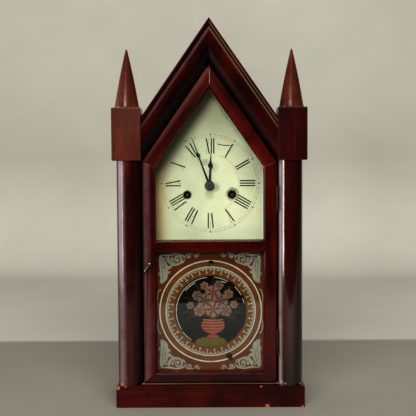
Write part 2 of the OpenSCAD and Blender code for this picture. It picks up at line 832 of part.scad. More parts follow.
module screws_and_nuts() {
    color(brass) in_case() for (p = pillar_places) difference() {
        bar_y(p, plate_front - nut_t, plate_front, tenon_r + 1.7, 6);
        bar_y(p, plate_front - nut_t - past, plate_front + past, tenon_r);
    }
    color(iron) for (p = dial_screw_places()) {
        bar_y(p, dial_back, dial_back + screw_head_t, dial_screw_r + 1.3);
        bar_y(p, frame_back + 2, dial_back + screw_head_t/2, dial_screw_r);
    }
    color(iron) for (p = gong_screw_places()) {
        bar_y(p, gong_foot_front - screw_head_t, gong_foot_front, gong_screw_r + 1.2);
        bar_y(p, gong_foot_front - screw_head_t/2, back_board_front, gong_screw_r);
    }
}

// A mainspring: a flat ribbon coiled from near its arbor out to a pillar
spring_in = 6;
spring_out = 24.5;
spring_turns = 6;
ribbon_t = 0.5;
module mainspring(at, pillar, way, y0, y1) {
    reach = norm(pillar - at);
    tangent = acos((spring_out + pillar_r + touch)/reach);
    last = bearing(at, pillar) - way*tangent;
    steps = spring_turns*18;
    function place(i, r) = let (a = last - way*360*spring_turns*(1 - i/steps),
        q = spring_in + (spring_out - spring_in)*i/steps + r) at + q*[cos(a), sin(a)];
    tail_way = way*[-sin(last), cos(last)];
    tail = reach*sin(tangent);
    color(steel) in_case() slab(y0, y1) polygon(concat([for (i = [0:steps]) place(i, ribbon_t/2)],
        [place(steps, ribbon_t/2) + tail*tail_way, place(steps, -ribbon_t/2) + tail*tail_way],
        [for (i = [steps:-1:0]) place(i, -ribbon_t/2)]));
}
time_spring_y = [6, 24];
strike_spring_y = [11.5, 27];
module time_mainspring() {
    mainspring(time_at, pillar_places[2], 1, time_spring_y[0], time_spring_y[1]);
}
module strike_mainspring() {
    mainspring(strike_at, pillar_places[0], -1, strike_spring_y[0], strike_spring_y[1]);
}

// Cocks riveted to the front plate: the suspension post with its slit, the saddle pin that
// the verge turns on, and the bridge over the escape wheel
pendulum_y = -6.2;
post_r = 2.5;
post_front = pendulum_y - 2.2;
slit_w = 1.4;
verge_pin_r = 0.8;
verge_pin_end = -4.9;
cock_y = [-3.6, -2.8];
cock_w = 4.4;
cock_foot_r = 2.4;
module front_plate_cocks() {
    post_at = swing_at + [0, 5.4];
    foot_at = escape_at + [escape_r + 6, 0];
    color(brass) in_case() difference() {
        bar_y(post_at, post_front, plate_front, post_r);
        translate([post_at[0] - slit_w/2, post_front - past, post_at[1] - post_r - past])
            cube([slit_w, 3.8 + past, post_r + 1.8 + past]);
    }
    color(brass) in_case() bar_y(swing_at, verge_pin_end, plate_front, verge_pin_r);
    color(brass) in_case() difference() {
        union() {
            bar_y(foot_at, cock_y[0], plate_front, cock_foot_r);
            slab(cock_y[0], cock_y[1]) translate(escape_at - [cock_foot_r, cock_w/2])
                square([foot_at[0] - escape_at[0] + cock_foot_r, cock_w]);
        }
        bar_y(escape_at, cock_y[0] - past, cock_y[1] + past, fine_pivot_r + running);
    }
}

// ---------- Gong and hammer ----------

hammer_y = 28.6;        // the hammer wire's middle, counted from the front plate
gong_at = [0, gong_z];
gong_y = movement_y + hammer_y + 0.6;
gong_foot_t = 6;
gong_foot_front = back_board_front - gong_foot_t;
gong_bend = 4;
gong_foot_l = 44;
gong_foot_w = 20;
gong_foot_at = gong_at + [gong_inner_r, 0];

// Points along the wire's middle: the coil from its free outer end inwards, a quarter
// bend towards the back board and a short straight run into the foot
loop_rings = 24;
gong_steps = gong_turns*loop_rings;
gong_wire_r = gong_wire_d/2;
gong_rim = gong_r - gong_wire_r;
function gong_coil_r(i) = gong_rim + (gong_inner_r - gong_rim)*i/gong_steps;
function gong_coil_point(i) = let (a = 360*i/loop_rings)
    [gong_coil_r(i)*cos(a), gong_y, gong_z + gong_coil_r(i)*sin(a)];
function gong_path() = concat(
    [for (i = [0:gong_steps]) gong_coil_point(i)],
    [for (a = [22.5:22.5:90]) [gong_inner_r, gong_y + gong_bend*(1 - cos(a)),
        gong_z + gong_bend*sin(a)]],
    [[gong_inner_r, gong_foot_front, gong_z + gong_bend]]);

// Least gap from one turn to the next, measured on the points of the path
function flat_gaps(path) = [for (i = [0:gong_steps - loop_rings])
    norm(path[i] - path[i + loop_rings]) - gong_wire_d];
echo(least_gap_of_gong_wire = min(flat_gaps(gong_path())));

// Sweeps a round wire along points. Each ring is turned by a direction that the wire doesn't
// follow there: +Y round the coil, and about +X in the bend
function unit(v) = v/norm(v);
function way_at(path, i) = unit(path[min(i + 1, len(path) - 1)] - path[max(i - 1, 0)]);
module wire(path, r, sides) {
    n = len(path);
    function ring_hint(i) = i <= gong_steps ? [0, 1, 0] : unit([1, 0, 0.01]);
    function across(i) = let (t = way_at(path, i)) unit(cross(t, ring_hint(i)));
    function ring(i) = let (t = way_at(path, i), b = across(i), c = cross(b, t))
        [for (k = [0:sides - 1]) path[i] + r*(cos(360*k/sides)*b + sin(360*k/sides)*c)];
    points = [for (i = [0:n - 1], p = ring(i)) p];
    walls = [for (i = [0:n - 2], k = [0:sides - 1], half = [0, 1])
        let (k2 = (k + 1)%sides, a = i*sides + k, b = i*sides + k2,
            c = (i + 1)*sides + k2, d = (i + 1)*sides + k)
        half == 0 ? [a, b, c] : [a, c, d]];
    polyhedron(points, concat([[for (k = [sides - 1:-1:0]) k]], walls,
        [[for (k = [0:sides - 1]) (n - 1)*sides + k]]));
}
module gong_coil() { color(steel) wire(gong_path(), gong_wire_r, 6); }

// Cast foot with rounded ends, screwed flat against the back board
module gong_base() {
    r = gong_foot_w/2;
    color(iron) difference() {
        slab(gong_foot_front, back_board_front) translate(gong_foot_at) union() {
            square([gong_foot_l - 2*r, gong_foot_w], center = true);
            for (side = [-1, 1]) translate([side*(gong_foot_l/2 - r), 0]) circle(r = r, $fn = round_fn);
        }
        for (p = gong_screw_places())
            bar_y(p, gong_foot_front - past, back_board_front + past, gong_screw_r + running);
    }
}

// The hammer: an arbor with a tail beside the pin wheel and a long wire to the gong
hammer_wire_r = 1;
hammer_head_r = 4.2;
hammer_head_l = 11;
pin_circle = 11;
pin_r = 0.7;
tail_way = 225;
hammer_boss_y = [27.2, 35];
hammer_tail_y = [31.5, 33.5];
tail_w = 2.4;
hammer_rest = 0.5;      // between the head at rest and the gong
hammer_up = 8;          // height of the head above the gong's middle
module gong_hammer() {
    head_at = [-gong_r - hammer_rest - hammer_head_l/2, gong_z + hammer_up];
    way = head_at - hammer_at;
    tip = step_to(pin_at, tail_way, pin_circle + pin_r + touch + 1);
    color(steel) in_case() union() {
        arbor(hammer_at, pivot_r, arbor_r);
        bar_y(hammer_at, hammer_boss_y[0], hammer_boss_y[1], 2*arbor_r);
        slab(hammer_tail_y[0], hammer_tail_y[1])
            polygon([hammer_at + [-1, -tail_w/2], tip + [0, -tail_w/2], tip + [0.4, 0],
                tip + [0, 0.4], hammer_at + [-1, tail_w/2]]);
        translate([hammer_at[0], hammer_y, hammer_at[1]]) rotate([0, 90 - atan2(way[1], way[0]), 0])
            cylinder(h = norm(way), r = hammer_wire_r, $fn = 24);
        translate([head_at[0] - hammer_head_l/2, hammer_y, head_at[1]]) rotate([0, 90, 0])
            cylinder(h = hammer_head_l, r = hammer_head_r, $fn = round_fn);
    }
}

// ---------- Hands and motion work ----------

minute_hand_y = from_plate(dial_front) - 5.2;
hour_hand_y = from_plate(dial_front) - 2.8;

// A spade hand: a slim blade, a pierced bulge and a needle point, pointing up
module hand_outline(l, hub, bulge_at, bulge_r, foot_w, hole) {
    neck = foot_w*0.55;
    difference() {
        union() {
            circle(r = hub, $fn = round_fn);
            polygon([[-foot_w/2, 0], [foot_w/2, 0], [neck/2, bulge_at - bulge_r*0.8],
                [-neck/2, bulge_at - bulge_r*0.8]]);
            translate([0, bulge_at]) circle(r = bulge_r, $fn = round_fn);
            polygon([[-bulge_r*0.86, bulge_at + bulge_r*0.5], [bulge_r*0.86, bulge_at + bulge_r*0.5],
                [bulge_r*0.28, bulge_at + bulge_r*2], [0.3, l], [-0.3, l],
                [-bulge_r*0.28, bulge_at + bulge_r*2]]);
        }
        circle(r = hole, $fn = round_fn);
    }
}
module hand_at_angle(y, a) {
    color(blued) in_case() translate([0, 0, hand_z]) slab(y, y + hand_t) rotate(-a) children();
}

module minute_hand() {
    hand_at_angle(minute_hand_y, minute_angle)
        hand_outline(minute_l, minute_hub_r, minute_l*0.62, 2.5, 3, hand_arbor_r);
}
module hour_hand() {
    hand_at_angle(hour_hand_y, hour_angle)
        hand_outline(hour_l, hour_hub_r, hour_l*0.62, 3.2, 3.6, sleeve_r);
}

// The centre arbor carries the minute hand and the cannon pinion
cannon_y = [-8.2, -5.6];
minute_wheel_y = [-7.4, -6.6];
minute_lantern_y = [-10.3, -6.8];
hour_wheel_y = [-9.6, -8.8];
module centre_arbor() {
    color(steel) in_case() union() {
        bar_y(hands_at, minute_hand_y - 2, rear_back, hand_arbor_r);
        bar_y(hands_at, minute_hand_y - 1.3, minute_hand_y, hand_arbor_r + 0.9);
        bar_y(hands_at, minute_hand_y + hand_t, hour_hand_y - touch, hand_arbor_r + 0.5);
        lantern_at(hands_at, minute_way, cannon_y[0], cannon_y[1], cannon_trundles,
            cannon_module, 0.6);
        bar_y(hands_at, cannon_y[1] - 0.1, plate_front - 0.2, hand_arbor_r + 0.8);
        bar_y(hands_at, rear_front - 1.6, rear_front - 0.2, hand_arbor_r + 0.8);
    }
}

module hour_wheel() {
    color(brass) in_case() difference() {
        union() {
            bar_y(hands_at, hour_hand_y, hour_wheel_y[1], sleeve_r);
            wheel_at(hands_at, minute_way, hour_wheel_y[0], hour_wheel_y[1], hour_teeth,
                minute_trundles, hour_module, sleeve_r + 1, 3, 3, 2.4);
        }
        bar_y(hands_at, hour_hand_y - past, hour_wheel_y[1] + past, hand_arbor_r + running);
    }
}

// The minute wheel turns on a stud of the front plate, with its own trundles in front
module minute_wheel() {
    color(brass) in_case() union() {
        wheel_at(minute_at, minute_way + 180, minute_wheel_y[0], minute_wheel_y[1], minute_teeth,
            cannon_trundles, cannon_module, 5.4, 2.6, 3, 2.4);
        bar_y(minute_at, minute_lantern_y[0], plate_front - 0.2, arbor_r);
        lantern_at(minute_at, minute_way + 180, minute_lantern_y[0], minute_lantern_y[1],
            minute_trundles, hour_module, 0.5);
    }
}

// ---------- Going train ----------

time_ratchet_y = [26, 28];
time_wheel_y = [29, 31];
centre_lantern_y = [27.5, 32.5];
centre_wheel_y = [34.5, 35.7];
third_lantern_y = [33.2, 37];
third_wheel_y = [12, 13.2];
escape_lantern_y = [10.5, 14.7];
escape_wheel_y = [-2, -1];

// A saw-toothed ratchet at [x, z]
module ratchet_at(at, y0, y1, r, teeth) {
    translate([at[0], 0, at[1]]) slab(y0, y1)
        polygon([for (n = [0:teeth - 1], t = [0, 1])
            (t == 0 ? r : r - 1.6)*[cos((n + t*0.12)*360/teeth), sin((n + t*0.12)*360/teeth)]]);
}
ratchet_r = 10;
ratchet_teeth = 20;

// Click: a pawl on a stud of the main wheel, its nose just over the ratchet's tips
module click_at(at, a, y0, y1) {
    translate([at[0], 0, at[1]]) slab(y0, y1) rotate(a) {
        translate([ratchet_r + 5, 0]) circle(r = 2.2, $fn = round_fn);
        polygon([[ratchet_r + 6.4, -1.5], [ratchet_r + 6.4, 1.5], [ratchet_r + 2, 8],
            [ratchet_r + 0.2, 9], [ratchet_r + 1, 6]]);
    }
}

module main_wheel(at, phase, y, teeth, trundles, size, click_y) {
    difference() {
        union() {
            wheel_at(at, phase, y[0], y[1], teeth, trundles, size, ratchet_r + 7.6, 4, 5, 4);
            click_at(at, 90, click_y[0], click_y[1]);
        }
        bar_y(at, y[0] - past, y[1] + past, winding_r + running);
    }
}

module time_main_wheel() {
    color(brass) in_case() main_wheel(time_at, bearing(time_at, hands_at), time_wheel_y,
        time_teeth, centre_trundles, time_module, [time_ratchet_y[0], time_wheel_y[0]]);
}

// A winding arbor: square for the key, pivots in both plates, hub for the mainspring
module winding_arbor(at, ratchet_y, spring_y) {
    color(steel) in_case() union() {
        translate([at[0], 0, at[1]]) slab(from_plate(dial_back) + 0.4, plate_front)
            square(key_square, center = true);
        bar_y(at, plate_front - 1, rear_back + 1, winding_r);
        bar_y(at, spring_y[0], spring_y[1], spring_in - ribbon_t - touch);
        ratchet_at(at, ratchet_y[0], ratchet_y[1], ratchet_r, ratchet_teeth);
    }
}
module time_winding_arbor() { winding_arbor(time_at, time_ratchet_y, time_spring_y); }

// The centre wheel and its pinion ride on the centre arbor as a sleeve
module centre_wheel() {
    sleeve_front = centre_lantern_y[0] - 0.5;
    color(brass) in_case() difference() {
        union() {
            bar_y(hands_at, sleeve_front, centre_wheel_y[1], sleeve_r - 0.2);
            lantern_at(hands_at, bearing(hands_at, time_at), centre_lantern_y[0],
                centre_lantern_y[1], centre_trundles, time_module);
            wheel_at(hands_at, bearing(hands_at, third_at), centre_wheel_y[0], centre_wheel_y[1],
                train_teeth, train_trundles, centre_module, 5.5, 2.6);
        }
        bar_y(hands_at, sleeve_front - past, rear_front, hand_arbor_r + running);
    }
}

// A wheel and a lantern pinion on one arbor with thin pivots
module arbor(at, pivot, body, y0 = plate_front, y1 = rear_back) {
    bar_y(at, y0, y1, pivot);
    bar_y(at, plate_back + touch, rear_front - touch, body);
}
module third_wheel() {
    color(brass) in_case() union() {
        arbor(third_at, fine_pivot_r, fine_arbor_r + 0.15);
        lantern_at(third_at, bearing(third_at, hands_at), third_lantern_y[0], third_lantern_y[1],
            train_trundles, centre_module);
        wheel_at(third_at, bearing(third_at, escape_at), third_wheel_y[0], third_wheel_y[1],
            train_teeth, train_trundles, third_module, 4, 2.2);
    }
}

// The escape wheel stands in front of the front plate, its teeth leaning forwards
module escape_wheel() {
    root = escape_r - 2.6;
    color(brass) in_case() union() {
        arbor(escape_at, fine_pivot_r, fine_arbor_r, cock_y[0]);
        lantern_at(escape_at, bearing(escape_at, third_at), escape_lantern_y[0],
            escape_lantern_y[1], train_trundles, third_module);
        bar_y(escape_at, escape_wheel_y[0] - 0.4, escape_wheel_y[1] + 0.7, 2.2);
        translate([escape_at[0], 0, escape_at[1]]) slab(escape_wheel_y[0], escape_wheel_y[1])
            difference() {
                polygon([for (n = [0:escape_teeth - 1], k = [0:2])
                    let (a = (n + [0, 0.1, 0.3][k])*360/escape_teeth,
                        q = [root, escape_r, escape_r][k] - (k == 2 ? 2.4 : 0))
                    q*[cos(a), sin(a)]]);
                crossings(3.4, root - 1.8, 4, 1.8);
            }
    }
}

// The strip verge spans part of the escape wheel; its crutch reaches down to the rod
verge_span = 9.9;
verge_drop = 9.4;
verge_tube_y = [-4.7, -0.8];
verge_strip_y = [-2.4, -0.9];
crutch_low = 16;
crutch_t = 0.8;
crutch_half = 1.8;      // half the width of the loop round the pendulum rod
module verge_and_crutch() {
    loop_back = verge_tube_y[0] + 0.7;
    loop_front = pendulum_y - 1.2;
    color(steel) in_case() difference() {
        union() {
            bar_y(swing_at, verge_tube_y[0], verge_tube_y[1], 1.7);
            slab(verge_strip_y[0], verge_strip_y[1]) translate(swing_at) for (side = [-1, 1])
                polygon([[0, 1.6], [side*(verge_span - 2.5), -1.5],
                    [side*(verge_span + 0.9), -verge_drop + 1.6],
                    [side*(verge_span + 0.3), -verge_drop + 1.0], [side*(verge_span - 3.4), -2.9],
                    [0, -1.2]]);
            translate([swing_at[0], verge_tube_y[0] + crutch_t/2, hand_z + crutch_low])
                cylinder(h = swing_up - crutch_low, r = crutch_t/2, $fn = 16);
            for (x = [-crutch_half, crutch_half - crutch_t])
                translate([swing_at[0] + x, loop_front, hand_z + crutch_low])
                    cube([crutch_t, loop_back - loop_front, crutch_t]);
            translate([swing_at[0] - crutch_half, verge_tube_y[0], hand_z + crutch_low])
                cube([2*crutch_half, loop_back - verge_tube_y[0], crutch_t]);
        }
        bar_y(swing_at, verge_tube_y[0] - past, verge_tube_y[1] + past, verge_pin_r + running);
    }
}

// Pendulum: a suspension strip in the post's slit, a wire rod and a lens-shaped bob
rod_r = 0.8;
strip_up = 4;
strip_down = 10;
bob_face = [[0.45, 0.93], [0.75, 0.78], [0.92, 0.58], [0.985, 0.4], [1, 0.25]];
module pendulum() {
    bob_z = swing_at[1] - pendulum_l;
    neck_z = bob_z + bob_r + 3;
    x = swing_at[0];
    color(brass) in_case() union() {
        translate([x - 0.15, pendulum_y - 1.4, swing_at[1] - strip_down])
            cube([0.3, 2.6, strip_down + strip_up]);
        translate([x, pendulum_y, neck_z - 1])
            cylinder(h = swing_at[1] - strip_down - neck_z + 1.5, r = rod_r, $fn = 24);
        translate([x, pendulum_y, bob_z + bob_r - 1]) cylinder(h = 4, r = 1.2, $fn = 32);
        translate([x, pendulum_y, bob_z]) rotate([90, 0, 0]) rotate_extrude($fn = round_fn)
            polygon(concat([[0, -bob_t/2]], [for (f = bob_face) [bob_r*f[0], -bob_t/2*f[1]]],
                [for (i = [len(bob_face) - 1:-1:0]) [bob_r*bob_face[i][0], bob_t/2*bob_face[i][1]]],
                [[0, bob_t/2]]));
    }
}

// ---------- Strike train ----------

count_wheel_y = [2.8, 4];
strike_wheel_y = [5, 7];
strike_ratchet_y = [8.2, 10.4];
pin_lantern_y = [3.6, 8.4];
pin_wheel_y = [28, 29.2];
pin_end = 34.5;
warning_lantern_y = [26.6, 30.6];
warning_wheel_y = [24, 25.2];
fly_lantern_y = [22.8, 26.4];
fly_y = [6, 20];

// The count wheel: after each hour's blows its rim has a notch. Blows run 1 to 12
function blows_before(h) = h*(h - 1)/2;
count_r = 19;
count_notch = 2.4;
module count_wheel() {
    difference() {
        circle(r = count_r, $fn = 96);
        for (h = [1:12]) rotate(360*blows_before(h)/strike_teeth)
            translate([count_r - count_notch, -0.5]) square([count_notch + past, 1]);
        crossings(6, count_r - count_notch - 2.5, 4, 3);
    }
}

module strike_main_wheel() {
    color(brass) in_case() difference() {
        union() {
            main_wheel(strike_at, bearing(strike_at, pin_at), strike_wheel_y, strike_teeth,
                pin_trundles, strike_module, [strike_wheel_y[1], strike_ratchet_y[1] - 0.4]);
            translate([strike_at[0], 0, strike_at[1]]) slab(count_wheel_y[0], count_wheel_y[1])
                count_wheel();
            bar_y(strike_at, count_wheel_y[0], strike_wheel_y[0] + 0.5, 5);
        }
        bar_y(strike_at, count_wheel_y[0] - past, strike_wheel_y[1] + past, winding_r + running);
    }
}
module strike_winding_arbor() { winding_arbor(strike_at, strike_ratchet_y, strike_spring_y); }

pins = 8;
module pin_wheel() {
    color(brass) in_case() union() {
        arbor(pin_at, pivot_r, arbor_r);
        lantern_at(pin_at, bearing(pin_at, strike_at), pin_lantern_y[0], pin_lantern_y[1],
            pin_trundles, strike_module);
        wheel_at(pin_at, bearing(pin_at, warning_at), pin_wheel_y[0], pin_wheel_y[1], pin_teeth,
            warning_trundles, pin_module, 4, 5.8, 4, 2.6);
        for (n = [0:pins - 1])
            bar_y(step_to(pin_at, (n + 0.5)*360/pins, pin_circle), pin_wheel_y[1] - 0.2, pin_end,
                pin_r, 16);
    }
}

module warning_wheel() {
    color(brass) in_case() union() {
        arbor(warning_at, fine_pivot_r, fine_arbor_r + 0.2);
        lantern_at(warning_at, bearing(warning_at, pin_at), warning_lantern_y[0],
            warning_lantern_y[1], warning_trundles, pin_module);
        wheel_at(warning_at, bearing(warning_at, fly_at), warning_wheel_y[0], warning_wheel_y[1],
            warning_teeth, fly_trundles, warning_module, 3.4, 2.2, 4, 2);
    }
}

module fly() {
    vane = 10;
    color(brass) in_case() union() {
        arbor(fly_at, fine_pivot_r, fine_arbor_r);
        lantern_at(fly_at, bearing(fly_at, warning_at), fly_lantern_y[0], fly_lantern_y[1],
            fly_trundles, warning_module, 0.8);
        translate([fly_at[0], 0, fly_at[1]]) slab(fly_y[0], fly_y[1])
            rotate(30) square([2*vane, 0.8], center = true);
        bar_y(fly_at, fly_y[0] - 1, fly_y[1] + 1, 1.7);
    }
}

plinth_front();
plinth_side_left();
plinth_side_right();
floor_board();
case_side_left();
case_side_right();
back_board();
roof_board_left();
roof_board_right();
front_stile_left();
front_stile_right();
column_left();
column_right();
capital_block_left();
capital_block_right();
steeple_left();
steeple_right();
gable_moulding_left();
gable_moulding_right();
dial_cleats();
dial_plate();
movement_front_plate();
movement_back_plate();
movement_pillars();
screws_and_nuts();
time_mainspring();
strike_mainspring();
front_plate_cocks();
gong_coil();
gong_base();
door_stile_left();
door_stile_right();
door_rafter_left();
door_rafter_right();
door_rail_middle();
door_rail_bottom();
dial_glass();
tablet_glass();
door_hinge_leaves();
case_hinge_leaves();
latch_turn();
latch_catch_plate();
minute_hand();
centre_arbor();
centre_wheel();
hour_hand();
hour_wheel();
minute_wheel();
time_main_wheel();
time_winding_arbor();
third_wheel();
escape_wheel();
verge_and_crutch();
pendulum();
strike_main_wheel();
strike_winding_arbor();
pin_wheel();
warning_wheel();
fly();
gong_hammer();
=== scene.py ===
"""Looks of the steeple shelf clock: finishes for the CAD nodes, the painted dial and door glass,
and a plain stage with its lights and camera. The clock's lengths are in millimetres up to where a
mesh or a node takes them, and those of the stage are in metres."""
import math
import random

import bmesh
import bpy
from mathutils import Matrix, Vector


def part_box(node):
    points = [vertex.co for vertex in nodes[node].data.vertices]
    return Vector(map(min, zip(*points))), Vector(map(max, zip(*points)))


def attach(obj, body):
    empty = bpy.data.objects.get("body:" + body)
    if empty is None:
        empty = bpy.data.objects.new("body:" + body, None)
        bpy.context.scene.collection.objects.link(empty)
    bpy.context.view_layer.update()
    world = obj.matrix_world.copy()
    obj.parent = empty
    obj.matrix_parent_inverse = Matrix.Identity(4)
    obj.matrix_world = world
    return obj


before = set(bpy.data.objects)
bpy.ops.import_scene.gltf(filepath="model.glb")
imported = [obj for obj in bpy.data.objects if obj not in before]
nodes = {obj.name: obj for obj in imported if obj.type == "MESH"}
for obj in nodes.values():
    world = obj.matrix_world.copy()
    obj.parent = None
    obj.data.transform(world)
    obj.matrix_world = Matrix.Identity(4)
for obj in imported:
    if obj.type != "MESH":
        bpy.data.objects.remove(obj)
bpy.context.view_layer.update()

MM = 0.001
GABLE = 55.2  # slope of the roof, in degrees


def corners(name):
    """Lowest and highest corner of a CAD node in millimetres."""
    low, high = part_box(name)
    return low / MM, high / MM


# ---------- Measures of the case ----------

base_low, base_high = corners("plinth_front")
door_front = corners("door_stile_left")[0].y
rail_low, rail_high = corners("door_rail_middle")
shoulder = corners("door_stile_right")[1]
stile_x = shoulder.x - 4.5
door_top = corners("door_rafter_right")[1].z
open_half = -corners("door_stile_left")[1].x
mould_low, mould_high = corners("gable_moulding_right")
dial_y = corners("dial_plate")[0].y
arbor_low, arbor_high = corners("centre_arbor")
HAND_Z = (arbor_low.z + arbor_high.z) / 2
WINDING_X, WINDING_Z = 30.0, HAND_Z - 12.5
# The painted circle stands a little off the hands' centre, as in the photo
DIAL_X, DIAL_Z = 1.2, HAND_Z + 3.0


# ---------- Node trees ----------

EDGE_STARTS, EDGE_FULL = 0.995, 0.75  # cosine between an edge's rounded and true normal


class Finish:
    """A material's node tree, built by short calls. A value is a number, a colour or a socket."""

    def __init__(self, name):
        self.material = bpy.data.materials.new(name)
        self.material.use_nodes = True
        self.tree = self.material.node_tree
        self.tree.nodes.clear()
        self.place = self.node("TexCoord").outputs["Object"]

    def node(self, kind, inputs=(), **settings):
        made = self.tree.nodes.new("ShaderNode" + kind)
        for key, value in settings.items():
            setattr(made, key, value)
        for key, value in dict(inputs).items():
            self.feed(made.inputs[key], value)
        return made

    def feed(self, socket, value):
        if isinstance(value, bpy.types.NodeSocket):
            self.tree.links.new(value, socket)
        elif socket.type == "RGBA" and len(value) == 3:
            socket.default_value = (*value, 1.0)
        else:
            socket.default_value = value

    def math(self, operation, a, b=0.0, clamp=False):
        made = self.node("Math", {0: a, 1: b}, operation=operation, use_clamp=clamp)
        return made.outputs[0]

    def times(self, a, b):
        return self.math("MULTIPLY", a, b)

    def vector(self, operation, a, b=(0.0, 0.0, 0.0), out="Vector"):
        """Vector arithmetic. out is "Value" where the answer is a number."""
        return self.node("VectorMath", {0: a, 1: b}, operation=operation).outputs[out]

    def span(self, value, low, high, to_low=0.0, to_high=1.0):
        """A ramp from to_low at low to to_high at high, flat beyond them."""
        inputs = {"Value": value, "From Min": low, "From Max": high}
        inputs.update({"To Min": to_low, "To Max": to_high})
        return self.node("MapRange", inputs, clamp=True).outputs["Result"]

    def axis(self, name):
        return self.node("SeparateXYZ", {0: self.place}).outputs[name]

    def along(self, axis, low, high, to_low=0.0, to_high=1.0):
        """A ramp along an axis. low and high are in millimetres."""
        return self.span(self.axis(axis), low * MM, high * MM, to_low, to_high)

    def mix(self, share, a, b):
        made = self.node("Mix", data_type="RGBA")
        self.feed(made.inputs["Factor"], share)
        self.feed(made.inputs[6], a)
        self.feed(made.inputs[7], b)
        return made.outputs[2]

    def noise(self, scale, place=None, detail=3.0, rough=0.5, bend=0.0):
        """Noise between 0 and 1. scale is in features to the metre, one number or three."""
        where = self.place if place is None else place
        if isinstance(scale, tuple):
            where = self.vector("MULTIPLY", where, scale)
            scale = 1.0
        inputs = {"Vector": where, "Scale": scale, "Detail": detail}
        inputs.update({"Roughness": rough, "Distortion": bend})
        return self.node("TexNoise", inputs).outputs["Fac"]

    def turned(self, angles):
        """Place turned so that X runs along the grain. angles are in degrees."""
        euler = tuple(math.radians(a) for a in angles)
        return self.node("Mapping", {"Vector": self.place, "Rotation": euler}).outputs[0]

    def spot(self, centre, radius, soft, ragged=0.0, stretch=(1, 1, 1)):
        """1 inside a round spot and 0 outside. centre and radius are in millimetres."""
        away = self.vector("SUBTRACT", self.place, tuple(c * MM for c in centre))
        away = self.vector("MULTIPLY", away, stretch)
        length = self.vector("LENGTH", away, out="Value")
        if ragged:
            shake = self.times(self.noise(420.0, detail=4.0), 2 * ragged * MM)
            length = self.math("ADD", length, self.math("SUBTRACT", shake, ragged * MM))
        return self.span(length, radius * MM, radius * MM * (1 - soft))

    def seam(self, start, end, half, soft=0.6):
        """1 on a straight line from start to end, half wide to each side. In millimetres.

        A line without a Y is drawn straight through from front to back.
        """
        place = self.place
        if start[1] is None:
            place = self.vector("MULTIPLY", place, (1, 0, 1))
            start, end = (start[0], 0.0, start[2]), (end[0], 0.0, end[2])
        way = (Vector(end) - Vector(start)) * MM
        away = self.vector("SUBTRACT", place, tuple(Vector(start) * MM))
        share = self.vector("DOT_PRODUCT", away, tuple(way / way.length_squared), "Value")
        inputs = {0: tuple(way), "Scale": self.span(share, 0.0, 1.0)}
        near = self.node("VectorMath", inputs, operation="SCALE").outputs["Vector"]
        length = self.vector("LENGTH", self.vector("SUBTRACT", away, near), out="Value")
        return self.span(length, half * MM, half * MM * (1 - soft))

    def edges(self, radius):
        """1 on sharp outer edges and 0 on flat faces. radius is in millimetres."""
        round_normal = self.node("Bevel", {"Radius": radius * MM}, samples=4).outputs[0]
        true_normal = self.node("NewGeometry").outputs["Normal"]
        facing = self.vector("DOT_PRODUCT", round_normal, true_normal, "Value")
        return self.span(facing, EDGE_STARTS, EDGE_FULL)

    def bump(self, height, strength, distance):
        """A normal from a height. distance is in millimetres."""
        inputs = {"Height": height, "Strength": strength, "Distance": distance * MM}
        return self.node("Bump", inputs).outputs[0]

    def surface(self, **inputs):
        """Ends the tree in a Principled shader."""
        shader = self.node("BsdfPrincipled")
        for key, value in inputs.items():
            self.feed(shader.inputs[key.replace("_", " ")], value)
        self.close(shader.outputs[0])
        return self.material

    def close(self, socket):
        out = self.node("OutputMaterial")
        self.tree.links.new(socket, out.inputs["Surface"])


# ---------- Wood ----------

# Turns, in degrees, that lay X along the grain
ALONG = {
    "x": (0, 0, 0),
    "y": (0, 0, -90),
    "z": (0, 90, 0),
    "left_slope": (0, GABLE, 0),
    "right_slope": (0, -GABLE, 0),
}
BARE_WOOD = (0.36, 0.145, 0.055)
RUBBED = (0.19, 0.050, 0.020)
# Soot in the pores and grime of the polish, also laid as painted shade in the mouldings' inner
# parts
SOOT_AND_SHADE = (0.004, 0.0015, 0.001)
# Painted shade for the columns' right sides
COLUMN_SHADE = (0.010, 0.0022, 0.0014)
RAW_PINE = (0.60, 0.42, 0.26)
PINE_STAIN = (0.12, 0.065, 0.032)
WIDE_SEAM = 2.5  # half width from which a seam is a soft band, broken up by the grime


